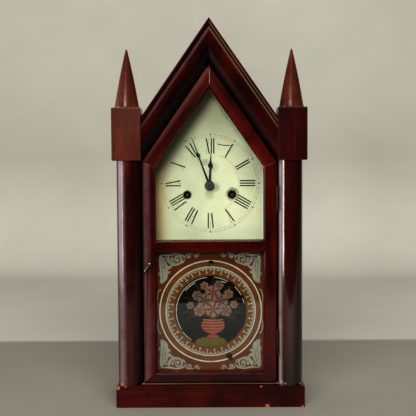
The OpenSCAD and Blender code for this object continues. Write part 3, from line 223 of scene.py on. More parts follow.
def polished(name, grain, dark, light, wear=0.5, chips=(), seams=(), gloss=0.12, shine=0.22):
    """Old shellac over mahogany: grain figure, dark cloudy polish, worn edges, chips and seams.
    Seams also lay bands of painted sheen, highlight, reflection and shade.
    """
    m = Finish(name)
    g = m.turned(ALONG[grain])
    ribbon = m.noise((5.0, 55.0, 55.0), g, detail=4.0, rough=0.6, bend=0.6)
    fine = m.noise((22.0, 620.0, 620.0), g, rough=0.6)
    pores = m.noise((70.0, 2400.0, 2400.0), g, detail=2.0)
    cloud = m.noise(14.0, detail=5.0, rough=0.6)
    grime = m.noise(46.0, detail=6.0, rough=0.65)
    colour = m.mix(m.span(ribbon, 0.22, 0.78), dark, light)
    colour = m.mix(m.span(fine, 0.35, 0.65, 0.55, 0.0), colour, dark)
    colour = m.mix(m.span(pores, 0.60, 0.72, 0.0, 0.7), colour, SOOT_AND_SHADE)
    colour = m.mix(m.span(cloud, 0.44, 0.62, 0.0, 0.85), colour, dark)
    colour = m.mix(m.span(grime, 0.62, 0.74, 0.0, 0.6), colour, SOOT_AND_SHADE)
    rubbed = m.times(m.edges(0.9), m.span(grime, 0.40, 0.62))
    colour = m.mix(m.times(rubbed, wear), colour, RUBBED)
    bare = 0.0
    for centre, radius in chips:
        bare = m.math("MAXIMUM", bare, m.spot(centre, radius, 0.25, ragged=radius * 0.55))
    if chips:
        colour = m.mix(bare, colour, BARE_WOOD)
    broken = m.span(grime, 0.35, 0.65, 1.0, 0.6)
    for start, end, half, tone in seams:
        if half < WIDE_SEAM:
            share = m.seam(start, end, half)
        else:
            share = m.times(m.seam(start, end, half, 0.9), broken)
        colour = m.mix(share, colour, tone)
    rough = m.span(grime, 0.35, 0.75, gloss, gloss + 0.08)
    rough = m.math("ADD", rough, m.times(bare, 0.5))
    relief = m.math("ADD", m.times(fine, 0.5), m.times(cloud, 2.5))
    relief = m.math("SUBTRACT", relief, m.times(bare, 1.5))
    return m.surface(
        Base_Color=colour,
        Roughness=rough,
        Normal=m.bump(relief, 0.22, 0.35),
        Specular_IOR_Level=shine,
        Coat_Weight=shine,
        Coat_Roughness=m.span(cloud, 0.35, 0.7, 0.05, 0.11),
        Coat_Normal=m.bump(m.math("ADD", relief, grime), 0.10, 0.3),
    )


def raw_wood(name, grain):
    """Bare pine that has gone brown, with dust and water marks."""
    m = Finish(name)
    g = m.turned(ALONG[grain])
    rings = m.noise((3.0, 90.0, 90.0), g, bend=1.2)
    fine = m.noise((30.0, 900.0, 900.0), g)
    stain = m.noise(11.0, detail=6.0, rough=0.65)
    brown = tuple(0.42 * c for c in RAW_PINE)
    colour = m.mix(m.span(rings, 0.42, 0.62), RAW_PINE, brown)
    colour = m.mix(m.span(fine, 0.35, 0.7, 0.0, 0.45), colour, brown)
    colour = m.mix(m.span(stain, 0.40, 0.72, 0.15, 0.8), colour, PINE_STAIN)
    relief = m.math("ADD", m.times(rings, 2.0), fine)
    return m.surface(Base_Color=colour, Roughness=0.78, Normal=m.bump(relief, 0.5, 0.3))


# ---------- Metal, glass and paint ----------


def metal(name, colour, tarnish, rough=0.32, spots=0.5, metallic=1.0):
    """Metal with brush marks, tarnish and handling marks."""
    m = Finish(name)
    cloud = m.noise(90.0, detail=6.0, rough=0.65)
    fleck = m.noise(700.0)
    brushed = m.noise((60.0, 900.0, 2600.0), detail=2.0)
    bright = tuple(min(1, 1.4 * c) for c in colour)
    tint = m.mix(m.span(cloud, 0.42, 0.68, 0.0, 0.85), colour, tarnish)
    tint = m.mix(m.span(fleck, 0.60, 0.72, 0.0, spots), tint, tuple(0.4 * c for c in tarnish))
    tint = m.mix(m.times(m.edges(0.4), 0.35), tint, bright)
    return m.surface(
        Base_Color=tint,
        Metallic=metallic,
        Roughness=m.span(cloud, 0.35, 0.7, rough, rough + 0.28),
        Normal=m.bump(m.math("ADD", brushed, fleck), 0.12, 0.05),
    )


CHIPPED_BROWN = (0.07, 0.055, 0.045)
RUBBED_IRON = (0.16, 0.15, 0.14)
RING_GREY = (0.20, 0.195, 0.19)


def japanned(name, colour, rough=0.3, rings=()):
    """Black paint on iron or steel, chipped to grey and brown.

    Rings are rubbed in it round the hands' centre: radius, half width and share.
    """
    m = Finish(name)
    cloud = m.noise(160.0, detail=5.0, rough=0.6)
    tint = m.mix(m.span(cloud, 0.58, 0.72, 0.0, 0.6), colour, CHIPPED_BROWN)
    tint = m.mix(m.times(m.edges(0.35), 0.35), tint, RUBBED_IRON)
    for radius, half, share in rings:
        outer = m.spot((0.0, 0.0, HAND_Z), radius + half, 0.15, stretch=(1, 0, 1))
        inner = m.spot((0.0, 0.0, HAND_Z), radius - half, 0.15, stretch=(1, 0, 1))
        band = m.math("SUBTRACT", outer, inner, clamp=True)
        tint = m.mix(m.times(band, share), tint, RING_GREY)
    return m.surface(
        Base_Color=tint,
        Metallic=0.35,
        Roughness=m.span(cloud, 0.3, 0.7, rough, rough + 0.3),
        Normal=m.bump(cloud, 0.12, 0.1),
    )


def old_glass(name):
    """Clear window glass: slightly wavy, with a film of dust that thickens at the corners."""
    m = Finish(name)
    wave = m.noise(16.0, detail=1.0)
    dust = m.noise(130.0, detail=5.0, rough=0.7)
    normal = m.bump(wave, 0.10, 1.0)
    edge_on = m.node("LayerWeight", {"Blend": 0.5, "Normal": normal}).outputs["Facing"]
    mirror = m.span(m.math("POWER", edge_on, 5.0), 0.0, 1.0, 0.035, 1.0)
    clear = m.node("BsdfTransparent", {"Color": (0.97, 0.985, 0.97)}).outputs[0]
    shine = m.node("BsdfGlossy", {"Roughness": 0.03, "Normal": normal}).outputs[0]
    film = m.node("BsdfDiffuse", {"Color": (0.45, 0.43, 0.38)}).outputs[0]
    pane = m.node("MixShader", {0: mirror, 1: clear, 2: shine}).outputs[0]
    share = m.span(dust, 0.5, 0.8, 0.0, 0.006)
    m.close(m.node("MixShader", {0: share, 1: pane, 2: film}).outputs[0])
    return m.material


def paint(name, colour, under, worn, mottle, left_fade=0.0):
    """Old brush paint: uneven colour, small flecks gone, and a tone of its own underneath."""
    m = Finish(name)
    cloud = m.noise(60.0, detail=5.0, rough=0.65)
    fleck = m.noise(900.0, detail=4.0, rough=0.7)
    deep = tuple(c * 0.55 for c in colour)
    tint = m.mix(m.span(cloud, 0.35, 0.7, 0.0, mottle), colour, deep)
    gone = m.span(fleck, 0.66 - 0.3 * worn, 0.72 - 0.2 * worn)
    if left_fade:
        side = m.along("X", 20, -55, 0.0, left_fade)
        patch = m.span(m.noise(240.0, detail=4.0, rough=0.6), 0.35, 0.62)
        gone = m.math("MAXIMUM", gone, m.times(side, patch))
    tint = m.mix(gone, tint, under)
    return m.surface(
        Base_Color=tint,
        Roughness=m.span(cloud, 0.3, 0.7, 0.45, 0.70),
        Specular_IOR_Level=0.05,
        Normal=m.bump(fleck, 0.08, 0.03),
    )


DIAL_TONE = (0.84, 0.86, 0.65)
# Rubbed, dirty and brown places on the dial: X, Z, radius, raggedness, tone and share
DIAL_STAINS = (
    (WINDING_X + 0.6, WINDING_Z + 1.2, 10.0, 3.2, (0.07, 0.065, 0.04), 0.95),
    (-WINDING_X, WINDING_Z + 0.4, 7.2, 1.2, (0.06, 0.055, 0.035), 0.9),
    # A brown spot just right of the hands' centre
    (8.0, HAND_Z - 2.5, 7.0, 2.5, (0.34, 0.22, 0.10), 0.5),
    (-5.5, HAND_Z + 31.0, 6.0, 3.0, (0.28, 0.27, 0.16), 0.45),
    (7.0, HAND_Z + 24.0, 8.0, 3.0, (0.46, 0.38, 0.20), 0.25),
    (0.0, HAND_Z - 12.0, 9.0, 2.5, (0.42, 0.46, 0.32), 0.4),
)
# Painted shadow of the left rafter along the left slope of the dial, and a painted highlight line
# along the right of the door's opening
RAFTER_SHADOW = ((-open_half - 2, None, shoulder.z - 8), (-2.0, None, shoulder.z + 98))
RAFTER_SHADOW_HALF = 24.0
HIGHLIGHT_LINES = (((71.2, None, 200.0), (71.2, None, 312.5)),
              ((71.2, None, 313.0), (0.5, None, 416.0)))
HIGHLIGHT_LINE_HALF = 1.2


def dial_finish():
    """Cream enamel gone green and brown, rubbed round the holes and speckled grey-green at its
    right edge.
    Its left side and top carry painted shade, with a painted shadow along the left slope and a
    painted highlight along the right of the door's opening.
    """
    m = Finish("dial_enamel")
    cloud = m.noise(17.0, detail=6.0, rough=0.6)
    patch = m.noise(60.0, detail=6.0, rough=0.7)
    fleck = m.noise(1100.0, rough=0.7)
    craze = m.node("TexVoronoi", {"Scale": 320.0}, feature="DISTANCE_TO_EDGE").outputs["Distance"]
    # Painted shadow cast by the left rafter, a broad soft band along the slope
    rafter_shadow = m.seam(*RAFTER_SHADOW, RAFTER_SHADOW_HALF, 0.95)
    tint = m.mix(m.span(cloud, 0.38, 0.66), DIAL_TONE, (0.77, 0.80, 0.60))
    for share, tone in (
        (m.span(patch, 0.45, 0.75, 0.0, 0.35), (0.68, 0.62, 0.40)),
        (m.span(fleck, 0.64, 0.74, 0.0, 0.5), (0.30, 0.24, 0.13)),
        (m.span(craze, 0.012, 0.0, 0.0, 0.10), (0.25, 0.22, 0.12)),
        # Painted warm shade down the left side of the dial, beside the stile
        (m.along("X", -50, -72, 0.0, 0.75), (0.88, 0.56, 0.24)),
        # Painted shade at the top of the dial, under the rafters
        (m.along("Z", 345, 405, 0.0, 0.65), (0.42, 0.42, 0.26)),
        # The painted rafter shadow
        (m.times(rafter_shadow, 0.85), (0.32, 0.28, 0.15)),
    ):
        tint = m.mix(share, tint, tone)
    for x, z, radius, ragged, tone, share in DIAL_STAINS:
        spot = m.spot((x, dial_y, z), radius, 0.55, ragged)
        tint = m.mix(m.times(spot, share), tint, tone)
    speckle = m.span(m.noise(620.0, detail=4.0, rough=0.7), 0.46, 0.60)
    edge = m.span(m.math("ADD", m.axis("X"), m.span(patch, 0.3, 0.7, 0.0, 0.016)), 0.052, 0.074)
    edge = m.times(edge, m.along("Z", 262, 300))
    edge = m.times(m.times(edge, speckle), 0.65)
    tint = m.mix(edge, tint, (0.36, 0.43, 0.34))
    # Painted highlight lines along the right of the door's opening
    for start, end in HIGHLIGHT_LINES:
        share = m.times(m.seam(start, end, HIGHLIGHT_LINE_HALF), 0.55)
        tint = m.mix(share, tint, (0.97, 1.0, 0.90))
    relief = m.math("ADD", fleck, m.times(patch, 2.0))
    return m.surface(Base_Color=tint, Roughness=0.5, Specular_IOR_Level=0.15,
                     Normal=m.bump(relief, 0.15, 0.08))


# ---------- The clock's finishes ----------

DARK = (0.017, 0.0011, 0.0008)
RED = (0.132, 0.0082, 0.0040)
SHADED_DARK = (0.012, 0.0009, 0.0007)
SHADED_RED = (0.080, 0.0045, 0.0024)
WARM_RED = (0.200, 0.0160, 0.0080)
TURNED_DARK = (0.062, 0.0130, 0.0068)
TURNED_RED = (0.230, 0.0640, 0.0300)
PALE_SEAM = (0.26, 0.21, 0.18)
DARK_SEAM = (0.002, 0.001, 0.001)
FAINT_SEAM = (0.012, 0.001, 0.001)
# Painted sheen for the left stile and the left limb of the moulding
PAINTED_SHEEN = (0.170, 0.075, 0.080)
# Painted sheen for the left rafter
RAFTER_SHEEN = (0.125, 0.034, 0.030)
BLOCK_RED = (0.18, 0.043, 0.021)
DULL_RED = (0.085, 0.0065, 0.004)
# Painted highlight down the left column's front
COLUMN_SHEEN = (0.22, 0.165, 0.18)
# Painted reflection down the left edge of the right column
GREY_SHEEN = (0.34, 0.29, 0.29)
# Painted reflection lines on the right limb of the moulding
TAN_REFLECTION = (0.20, 0.125, 0.065)

# A chip is its centre and radius, and a seam its two ends, half width and tone.
chips_plinth = [
    ((base_low.x + 2.0, base_low.y, base_high.z - 1.2), 3.4),
    ((base_low.x + 12.0, base_low.y, base_high.z + 0.4), 2.0),
    ((74.0, base_low.y, 1.5), 3.2),
    ((66.0, base_low.y, base_high.z), 1.6),
    ((base_high.x - 3.0, base_low.y, 1.0), 1.8),
]
seams_plinth = [
    ((73.5, base_low.y, 6.0), (72.5, base_low.y, 22.0), 0.8, DARK_SEAM),
    ((-81.0, base_low.y, 0.0), (-81.4, base_low.y, base_high.z), 0.4, FAINT_SEAM),
]
chips_left = [((-116.0, base_low.y + 6, 29.0), 2.6), ((-101.0, base_low.y, 29.5), 1.6)]
chips_right = [((92.5, base_low.y + 8, 31.5), 2.4), ((98.0, base_low.y + 4, 30.0), 1.5)]


def on_door(x1, z1, x2, z2, half, tone):
    """A seam on the door's front."""
    return ((x1, door_front, z1), (x2, door_front, z2), half, tone)


# On the left stile: a thin painted highlight beside the middle rail, and a broad painted sheen down
# the outer half of its face
bevel_highlight_x = -open_half - 0.9
seams_left = [on_door(bevel_highlight_x, rail_low.z + 1, bevel_highlight_x, rail_high.z - 1, 0.8, PALE_SEAM),
              on_door(-stile_x, 30.0, -stile_x, shoulder.z, 7.0, PAINTED_SHEEN)]
# Painted sheen along the left rafter
seams_rafter = [on_door(-shoulder.x + 2, shoulder.z + 2, -4.0, door_top - 9, 6.5, RAFTER_SHEEN)]
seams_apex = [on_door(0.5, door_top - 25, 0.4, door_top - 6, 0.6, PALE_SEAM)]
seams_shoulder = [on_door(open_half + 1, shoulder.z - 5.6, shoulder.x, shoulder.z + 0.3, 0.6,
                          PALE_SEAM)]
# Half width of the painted shade down a column's right side
COLUMN_SHADE_HALF = 17.0


def column_marks(name, sheen_at, sheen_half, tone):
    """A painted sheen down the left of a column's front and painted shade down its right side."""
    low, high = corners(name)
    x, y = high.x, (low.y + high.y) / 2
    sheen_x = low.x + sheen_at
    face = y - math.sqrt(max(0.0, (y - low.y) ** 2 - ((low.x + high.x) / 2 - sheen_x) ** 2))
    return [((x, y, low.z), (x, y, high.z), COLUMN_SHADE_HALF, COLUMN_SHADE),
            ((sheen_x, face, low.z), (sheen_x, face, high.z), sheen_half, tone)]


def limb(side, inward, half, tone):
    """A band along one limb of the gable moulding, so far in from its outer edge."""
    slope = math.radians(GABLE)
    top = mould_high.z - inward / math.cos(slope)
    foot = side * (top - mould_low.z) / math.tan(slope)
    return ((0.0, None, top), (foot, None, mould_low.z), half, tone)


# Rings rubbed on the hands' hubs: radius, half width and share
HUB_RINGS = ((4.1, 0.55, 1.0), (2.2, 0.4, 0.8), (6.1, 0.3, 0.35))

finishes = {
    "case_x": polished("mahogany_level", "x", DARK, RED),
    "case_y": polished("mahogany_deep", "y", DARK, RED),
    "case_z": polished("mahogany_upright", "z", DARK, RED),
    "door_left": polished("mahogany_door_left", "z", DARK, RED, seams=seams_left),
    "door_right": polished("mahogany_door_right", "z", DARK, RED, seams=seams_shoulder),
    "case_left": polished("mahogany_left_slope", "left_slope", DARK, WARM_RED, seams=seams_rafter),
    "case_right": polished("mahogany_right_slope", "right_slope", DARK, WARM_RED, seams=seams_apex),
    # The mouldings' inner parts carry painted shade; the left limb also has a band of painted sheen
    # and the right limb two thin lines of painted reflection
    "mould_left": polished("moulding_left", "left_slope", DARK, RED, gloss=0.3, shine=0.16,
                           seams=[limb(-1, 25.0, 12.0, SOOT_AND_SHADE), limb(-1, 7.0, 3.6, PAINTED_SHEEN)]),
    "mould_right": polished("moulding_right", "right_slope", DARK, WARM_RED, gloss=0.3, shine=0.16,
                            seams=[limb(1, 30.0, 6.0, SOOT_AND_SHADE), limb(1, 3.6, 1.0, TAN_REFLECTION),
                                   limb(1, 7.2, 1.5, TAN_REFLECTION)]),
    "plinth": polished("mahogany_base", "x", DARK, RED, wear=0.6, chips=chips_plinth,
                       seams=seams_plinth, shine=0.12),
    # Each column carries a painted sheen down the left of its front and painted shade down its
    # right side
    "column_left": polished("mahogany_column_left", "z", DARK, RED, wear=0.4, chips=chips_left,
                            seams=column_marks("column_left", 8.5, 7.5, COLUMN_SHEEN), gloss=0.2,
                            shine=0.3),
    "column_right": polished("mahogany_column_right", "z", SHADED_DARK, SHADED_RED, wear=0.4,
                             chips=chips_right,
                             seams=column_marks("column_right", 3.0, 5.2, GREY_SHEEN), gloss=0.1,
                             shine=0.6),
    # The left capital block is given a lighter, redder tone than the right one
    "block_left": polished("lighter_red_block", "z", TURNED_DARK, BLOCK_RED, gloss=0.2, shine=0.25),
    "block_right": polished("dark_block", "z", DARK, DULL_RED, gloss=0.2, shine=0.25),
    "steeple": polished("redwood_steeple", "z", TURNED_DARK, TURNED_RED, wear=0.2, gloss=0.2),
    "raw_z": raw_wood("pine_upright", "z"),
    "raw_x": raw_wood("pine_level", "x"),
    "glass": old_glass("window_glass"),
    "dial": dial_finish(),
    "brass": metal("old_brass", (0.62, 0.44, 0.17), (0.25, 0.15, 0.05)),
    "bright_brass": metal("rubbed_brass", (0.78, 0.58, 0.25), (0.36, 0.22, 0.08), 0.24, 0.3),
    # Near-black brass for the hinges and the latch's catch plate
    "black_brass": metal("near_black_brass", (0.085, 0.060, 0.038), (0.030, 0.020, 0.014), 0.3),
    "latch": metal("handled_iron", (0.20, 0.19, 0.17), (0.030, 0.024, 0.020), 0.16, 0.6),
    "steel": metal("grey_steel", (0.44, 0.43, 0.42), (0.17, 0.13, 0.10), 0.34),
    "dark_steel": metal("oiled_steel", (0.14, 0.135, 0.13), (0.035, 0.030, 0.026), 0.3),
    "blue_steel": metal("gong_steel", (0.09, 0.10, 0.13), (0.10, 0.06, 0.04), 0.3, 0.7, 0.9),
    "iron": japanned("japanned_iron", (0.014, 0.013, 0.013)),
    "hand_black": japanned("hand_black", (0.008, 0.008, 0.009), 0.35, HUB_RINGS),
}

dress = {
    "case_x": ["door_rail_middle", "door_rail_bottom"],
    "case_y": ["plinth_side_left", "plinth_side_right"],
    "case_z": ["case_side_left", "case_side_right", "front_stile_left", "front_stile_right"],
    "door_left": ["door_stile_left"],
    "door_right": ["door_stile_right"],
    "case_left": ["roof_board_left", "door_rafter_left"],
    "case_right": ["roof_board_right", "door_rafter_right"],
    "mould_left": ["gable_moulding_left"],
    "mould_right": ["gable_moulding_right"],
    "plinth": ["plinth_front"],
    "column_left": ["column_left"],
    "column_right": ["column_right"],
    "block_left": ["capital_block_left"],
    "block_right": ["capital_block_right"],
    "steeple": ["steeple_left", "steeple_right"],
    "raw_z": ["back_board", "dial_cleats"],
    "raw_x": ["floor_board"],
    "glass": ["dial_glass", "tablet_glass"],
    "dial": ["dial_plate"],
    "brass": ["movement_front_plate", "movement_back_plate", "movement_pillars",
              "front_plate_cocks", "centre_wheel", "hour_wheel", "minute_wheel",
              "time_main_wheel", "third_wheel", "escape_wheel", "strike_main_wheel", "pin_wheel",
              "warning_wheel", "fly"],
    "bright_brass": ["pendulum"],
    "black_brass": ["door_hinge_leaves", "case_hinge_leaves", "latch_catch_plate"],
    "latch": ["latch_turn"],
    "steel": ["verge_and_crutch", "gong_hammer", "time_mainspring", "strike_mainspring"],
    "dark_steel": ["centre_arbor", "time_winding_arbor", "strike_winding_arbor"],
    "blue_steel": ["gong_coil"],
    "iron": ["gong_base", "screws_and_nuts"],
    "hand_black": ["minute_hand", "hour_hand"],
}
# Width of the softened edges, in millimetres
SOFTENED = {
    "case_x": 0.5, "case_y": 0.6, "case_z": 0.5, "door_left": 0.5, "door_right": 0.5,
    "case_left": 0.5, "case_right": 0.5, "mould_left": 0.5, "mould_right": 0.5, "plinth": 0.9,
    "column_left": 0.25, "column_right": 0.25, "block_left": 0.8, "block_right": 0.8,
    "raw_z": 0.3, "raw_x": 0.3,
}
WELD_GAP = 0.002
SHARP_ANGLE = 32.0  # degrees between faces from which their edge is softened


def set_material(obj, material):
    if obj.material_slots:
        for place in obj.material_slots:
            place.material = material
    else:
        obj.data.materials.append(material)


def soften(obj, width):
    """Rounds the sharp edges of a CAD node by modifiers, inside its own outline."""
    weld = obj.modifiers.new("weld", "WELD")
    weld.merge_threshold = WELD_GAP * MM
    bevel = obj.modifiers.new("bevel", "BEVEL")
    bevel.width = width * MM
    bevel.segments = 3
    bevel.limit_method = "ANGLE"
    bevel.angle_limit = math.radians(SHARP_ANGLE)
    even = obj.modifiers.new("even", "WEIGHTED_NORMAL")
    even.keep_sharp = False
    even.weight = 60


for key, names in dress.items():
    for name in names:
        set_material(nodes[name], finishes[key])
        if key in SOFTENED:
            soften(nodes[name], SOFTENED[key])


# ---------- Flat painted work ----------


def facing_front(outline):
    """The outline in the order that makes its face look towards -Y."""
    turns = zip(outline, outline[1:] + outline[:1])
    area = sum(a[0] * b[1] - b[0] * a[1] for a, b in turns)
    return outline if area > 0 else outline[::-1]


STAGGER, STAGGER_STEPS = 0.002, 12  # keeps outlines of one piece that overlap out of one plane


def placed(name, data):
    """An object in the scene, with this data."""
    obj = bpy.data.objects.new(name, data)
    bpy.context.scene.collection.objects.link(obj)
    return obj


def mesh_object(name, made, material):
    mesh = bpy.data.meshes.new(name)
    made.to_mesh(mesh)
    made.free()
    mesh.materials.append(material)
    return placed(name, mesh)


def flat_piece(name, outlines, y, body, material):
    """Closed outlines of (x, z) points laid at y, each a hair in front of the one before."""
    made = bmesh.new()
    for count, outline in enumerate(outlines):
        depth = (y - STAGGER * (count % STAGGER_STEPS)) * MM
        made.faces.new([made.verts.new((x * MM, depth, z * MM)) for x, z in facing_front(outline)])
    obj = mesh_object(name, made, material)
    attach(obj, body)


def ring(centre, r_in, r_out, start=0.0, end=360.0, step=3.0):
    """Quads of a ring or an arc, angles in degrees from +X, turning towards +Z."""
    count = max(2, round(abs(end - start) / step))
    turns = [math.radians(start + (end - start) * i / count) for i in range(count + 1)]

    def at(r, t):
        return (centre[0] + r * math.cos(t), centre[1] + r * math.sin(t))

    pairs = zip(turns, turns[1:])
    return [[at(r_in, a), at(r_out, a), at(r_out, b), at(r_in, b)] for a, b in pairs]


def disc(centre, r, count=24, squash=1.0):
    turns = [math.tau * i / count for i in range(count)]
    return [(centre[0] + r * math.cos(t), centre[1] + squash * r * math.sin(t)) for t in turns]


def ribbon(points, widths):
    """Quads along a path, as wide at each point as widths says."""
    left, right = [], []
    last = len(points) - 1
    for i, (x, z) in enumerate(points):
        ahead, behind = points[min(i + 1, last)], points[max(i - 1, 0)]
        way = Vector((ahead[0] - behind[0], ahead[1] - behind[1])).normalized()
        half = widths[i] / 2
        left.append((x - way.y * half, z + way.x * half))
        right.append((x + way.y * half, z - way.x * half))
    return [[left[i], left[i + 1], right[i + 1], right[i]] for i in range(last)]


def curve(points, steps):
    """A smooth path through the points."""
    path = []
    for i in range(len(points) - 1):
        p = [Vector(points[max(0, min(len(points) - 1, i + k))]) for k in (-1, 0, 1, 2)]
        for s in range(steps):
            t = s / steps
            path.append(tuple(0.5 * (2 * p[1] + (p[2] - p[0]) * t
                                     + (2 * p[0] - 5 * p[1] + 4 * p[2] - p[3]) * t * t
                                     + (3 * p[1] - p[0] - 3 * p[2] + p[3]) * t * t * t)))
    return path + [tuple(points[-1])]


def tapered(points, widest, steps=8, start=0.15, end=0.1):
    """A smooth brush stroke: thin at its ends and widest in the middle."""
    path = curve(points, steps)
    last = len(path) - 1
    widths = []
    for i in range(last + 1):
        t = i / last
        edge = start + (end - start) * t
        widths.append(widest * (edge + (1 - edge) * math.sin(math.pi * t)))
    return ribbon(path, widths)


# ---------- Dial ----------

NUMERALS = ("XII", "I", "II", "III", "IIII", "V", "VI", "VII", "VIII", "IX", "X", "XI")
NUMERAL_IN, NUMERAL_OUT = 40.0, 60.0
THICK, THIN, SERIF = 1.6, 0.42, 0.34
SERIF_HALF = 1.35
X_INSET = 1.1
V_INSETS, V_FEET = (1.2, 1.0), (0.2, 0.5)
STROKE_STEP, WIDE_STEP = 3.3, 6.2
TRACK_IN, TRACK_OUT = 62.1, 65.3
TRACK_HALF_IN, TRACK_HALF_OUT = 0.11, 0.14
TICK, HOUR_TICK, HOUR_DOT = 0.22, 0.3, 0.95
INK_LOSS = (0.30, 0.30, 0.19)


def bar(a, b, width):
    """A stroke with square ends from a to b, as one outline of (u, v) points."""
    way = Vector((b[0] - a[0], b[1] - a[1])).normalized()
    off = Vector((-way.y, way.x)) * width / 2
    return [(a[0] + off.x, a[1] + off.y), (b[0] + off.x, b[1] + off.y),
            (b[0] - off.x, b[1] - off.y), (a[0] - off.x, a[1] - off.y)]


def numeral_strokes(text):
    """Bold and fine strokes of a Roman numeral, u to the right and v outwards."""
    widths = [STROKE_STEP if c == "I" else WIDE_STEP for c in text]
    u = -sum(widths) / 2
    bold, fine = [], []
    low, high = NUMERAL_IN, NUMERAL_OUT
    for c, wide in zip(text, widths):
        middle = u + wide / 2
        if c == "I":
            bold.append(bar((middle, low), (middle, high), THICK))
            feet = heads = [middle]
        elif c == "V":
            left, right = u + V_INSETS[0], u + wide - V_INSETS[1]
            bold.append(bar((left, high), (middle + V_FEET[0], low), THICK))
            fine.append(bar((right, high), (middle + V_FEET[1], low), THIN))
            feet, heads = [], [left, right]
        else:
            left, right = u + X_INSET, u + wide - X_INSET
            bold.append(bar((left, high), (right, low), THICK))
            fine.append(bar((right, high), (left, low), THIN))
            feet = heads = [left, right]
        for spots, v in ((feet, low), (heads, high)):
            for f in spots:
                fine.append(bar((f - SERIF_HALF, v), (f + SERIF_HALF, v), SERIF))
        u += wide
    return bold, fine


def on_dial(outline, hour):
    """Turns (u, v) points to an hour's place round the painted circle."""
    t = math.radians(30 * hour)
    return [(DIAL_X + v * math.sin(t) + u * math.cos(t), DIAL_Z + v * math.cos(t) - u * math.sin(t))
            for u, v in outline]


# A brush line that strays past the XII, as (points, width)
STRAY_LINES = (
    ([(10.5, HAND_Z + 55.5), (15.5, HAND_Z + 54.3), (20.5, HAND_Z + 53.6),
      (26.0, HAND_Z + 53.4)], 1.0),
    ([(26.0, HAND_Z + 53.4), (29.5, HAND_Z + 53.2), (33.0, HAND_Z + 53.6)], 0.6),
)
# Arcs of painted shading on the right of the centre, for the edge of an embossed ring
HALO_IN, HALO_OUT = 37.6, 40.0
HALO_ARCS = ((-12, 72), (-62, -36))


def draw_dial():
    bold, fine, track, halo = [], [], [], []
    for hour, text in enumerate(NUMERALS):
        thick, thin = numeral_strokes(text)
        bold += [on_dial(o, hour) for o in thick]
        fine += [on_dial(o, hour) for o in thin]
        bold.append(disc(on_dial([(0, TRACK_OUT)], hour)[0], HOUR_DOT, 12))
    for stray, width in STRAY_LINES:
        bold += ribbon(curve(stray, 5), [width] * (5 * len(stray)))
    centre = (DIAL_X, DIAL_Z)
    track += ring(centre, TRACK_OUT - TRACK_HALF_OUT, TRACK_OUT + TRACK_HALF_OUT)
    track += ring(centre, TRACK_IN - TRACK_HALF_IN, TRACK_IN + TRACK_HALF_IN)
    for minute in range(60):
        width = TICK if minute % 5 else HOUR_TICK
        track.append(on_dial(bar((0, TRACK_IN), (0, TRACK_OUT), width), minute / 5))
    for start, end in HALO_ARCS:
        halo += ring(centre, HALO_IN, HALO_OUT, start, end)
    worn = paint("numeral_ink", (0.012, 0.011, 0.008), INK_LOSS, 0.05, 0.5, left_fade=0.45)
    faint = paint("fine_ink", (0.16, 0.16, 0.10), DIAL_TONE, 0.45, 0.6, left_fade=0.7)
    ring_ink = paint("track_ink", (0.17, 0.18, 0.12), DIAL_TONE, 0.4, 0.6, left_fade=0.85)
    # The arcs' tone, painted shading of an embossed ring's edge
    rubbed = paint("dial_halo", (0.72, 0.73, 0.52), DIAL_TONE, 0.5, 0.1)
    for name, outlines, lift, material in (
        ("dial_numerals_bold", bold, 0.06, worn),
        ("dial_numerals_fine", fine, 0.05, faint),
        ("dial_minute_track", track, 0.04, ring_ink),
        ("dial_inner_circle", halo, 0.03, rubbed),
    ):
        flat_piece(name, outlines, dial_y - lift, "case", material)


draw_dial()

# ---------- Painted door glass ----------

pane_low, pane_high = corners("tablet_glass")
open_low = Vector((-open_half, 0, corners("door_rail_bottom")[1].z))
open_high = Vector((open_half, 0, rail_low.z))
TABLET = (0.6, (open_low.z + open_high.z) / 2)  # centre of the painted circle
TABLET_R, BLACK_R = 67.4, 47.8
# The layers of paint behind the glass
LINE_Y = pane_high.y + 0.05
PICTURE_Y = pane_high.y + 0.16
BLACK_Y = pane_high.y + 0.20
GROUND_Y = pane_high.y + 0.25

silver = paint("tablet_silver", (0.40, 0.39, 0.33), (0.10, 0.05, 0.025), 0.35, 0.45)
white = paint("tablet_white", (0.66, 0.66, 0.55), (0.12, 0.06, 0.03), 0.3, 0.3)
ground_paint = paint("tablet_ground", (0.170, 0.040, 0.007), (0.05, 0.013, 0.004), 0.12, 0.7)
band_paint = paint("tablet_band", (0.20, 0.072, 0.017), (0.06, 0.018, 0.006), 0.2, 0.6)
black_paint = paint("tablet_black", (0.003, 0.0027, 0.0021), (0.024, 0.016, 0.007), 0.35, 0.2)
brown_shade = paint("tablet_shade", (0.040, 0.024, 0.010), (0.012, 0.008, 0.005), 0.4, 0.6)
rose = paint("tablet_rose", (0.30, 0.165, 0.125), (0.10, 0.06, 0.045), 0.3, 0.5)
grey_rose = paint("tablet_grey_rose", (0.21, 0.155, 0.125), (0.08, 0.06, 0.05), 0.35, 0.5)
red_paint = paint("tablet_red", (0.31, 0.052, 0.034), (0.12, 0.03, 0.02), 0.3, 0.4)
olive = paint("tablet_olive", (0.155, 0.125, 0.022), (0.06, 0.045, 0.02), 0.25, 0.6)


def glass_piece(name, outlines, y, material):
    flat_piece(name, outlines, y, "door", material)


def from_tablet(points):
    return [(TABLET[0] + x, TABLET[1] + z) for x, z in points]


def spiral(centre, r, turns, start, hand, width):
    """A scroll that winds in to its centre, with a ball at its eye."""
    count = round(26 * turns)
    path, widths = [], []
    for i in range(count + 1):
        t = i / count
        reach = r * (1 - 0.82 * t)
        a = math.radians(start) + hand * math.tau * turns * t
        path.append((centre[0] + reach * math.cos(a), centre[1] + reach * math.sin(a)))
        widths.append(width * (1 - 0.6 * t))
    return ribbon(path, widths) + [disc(centre, width * 0.55, 12)]


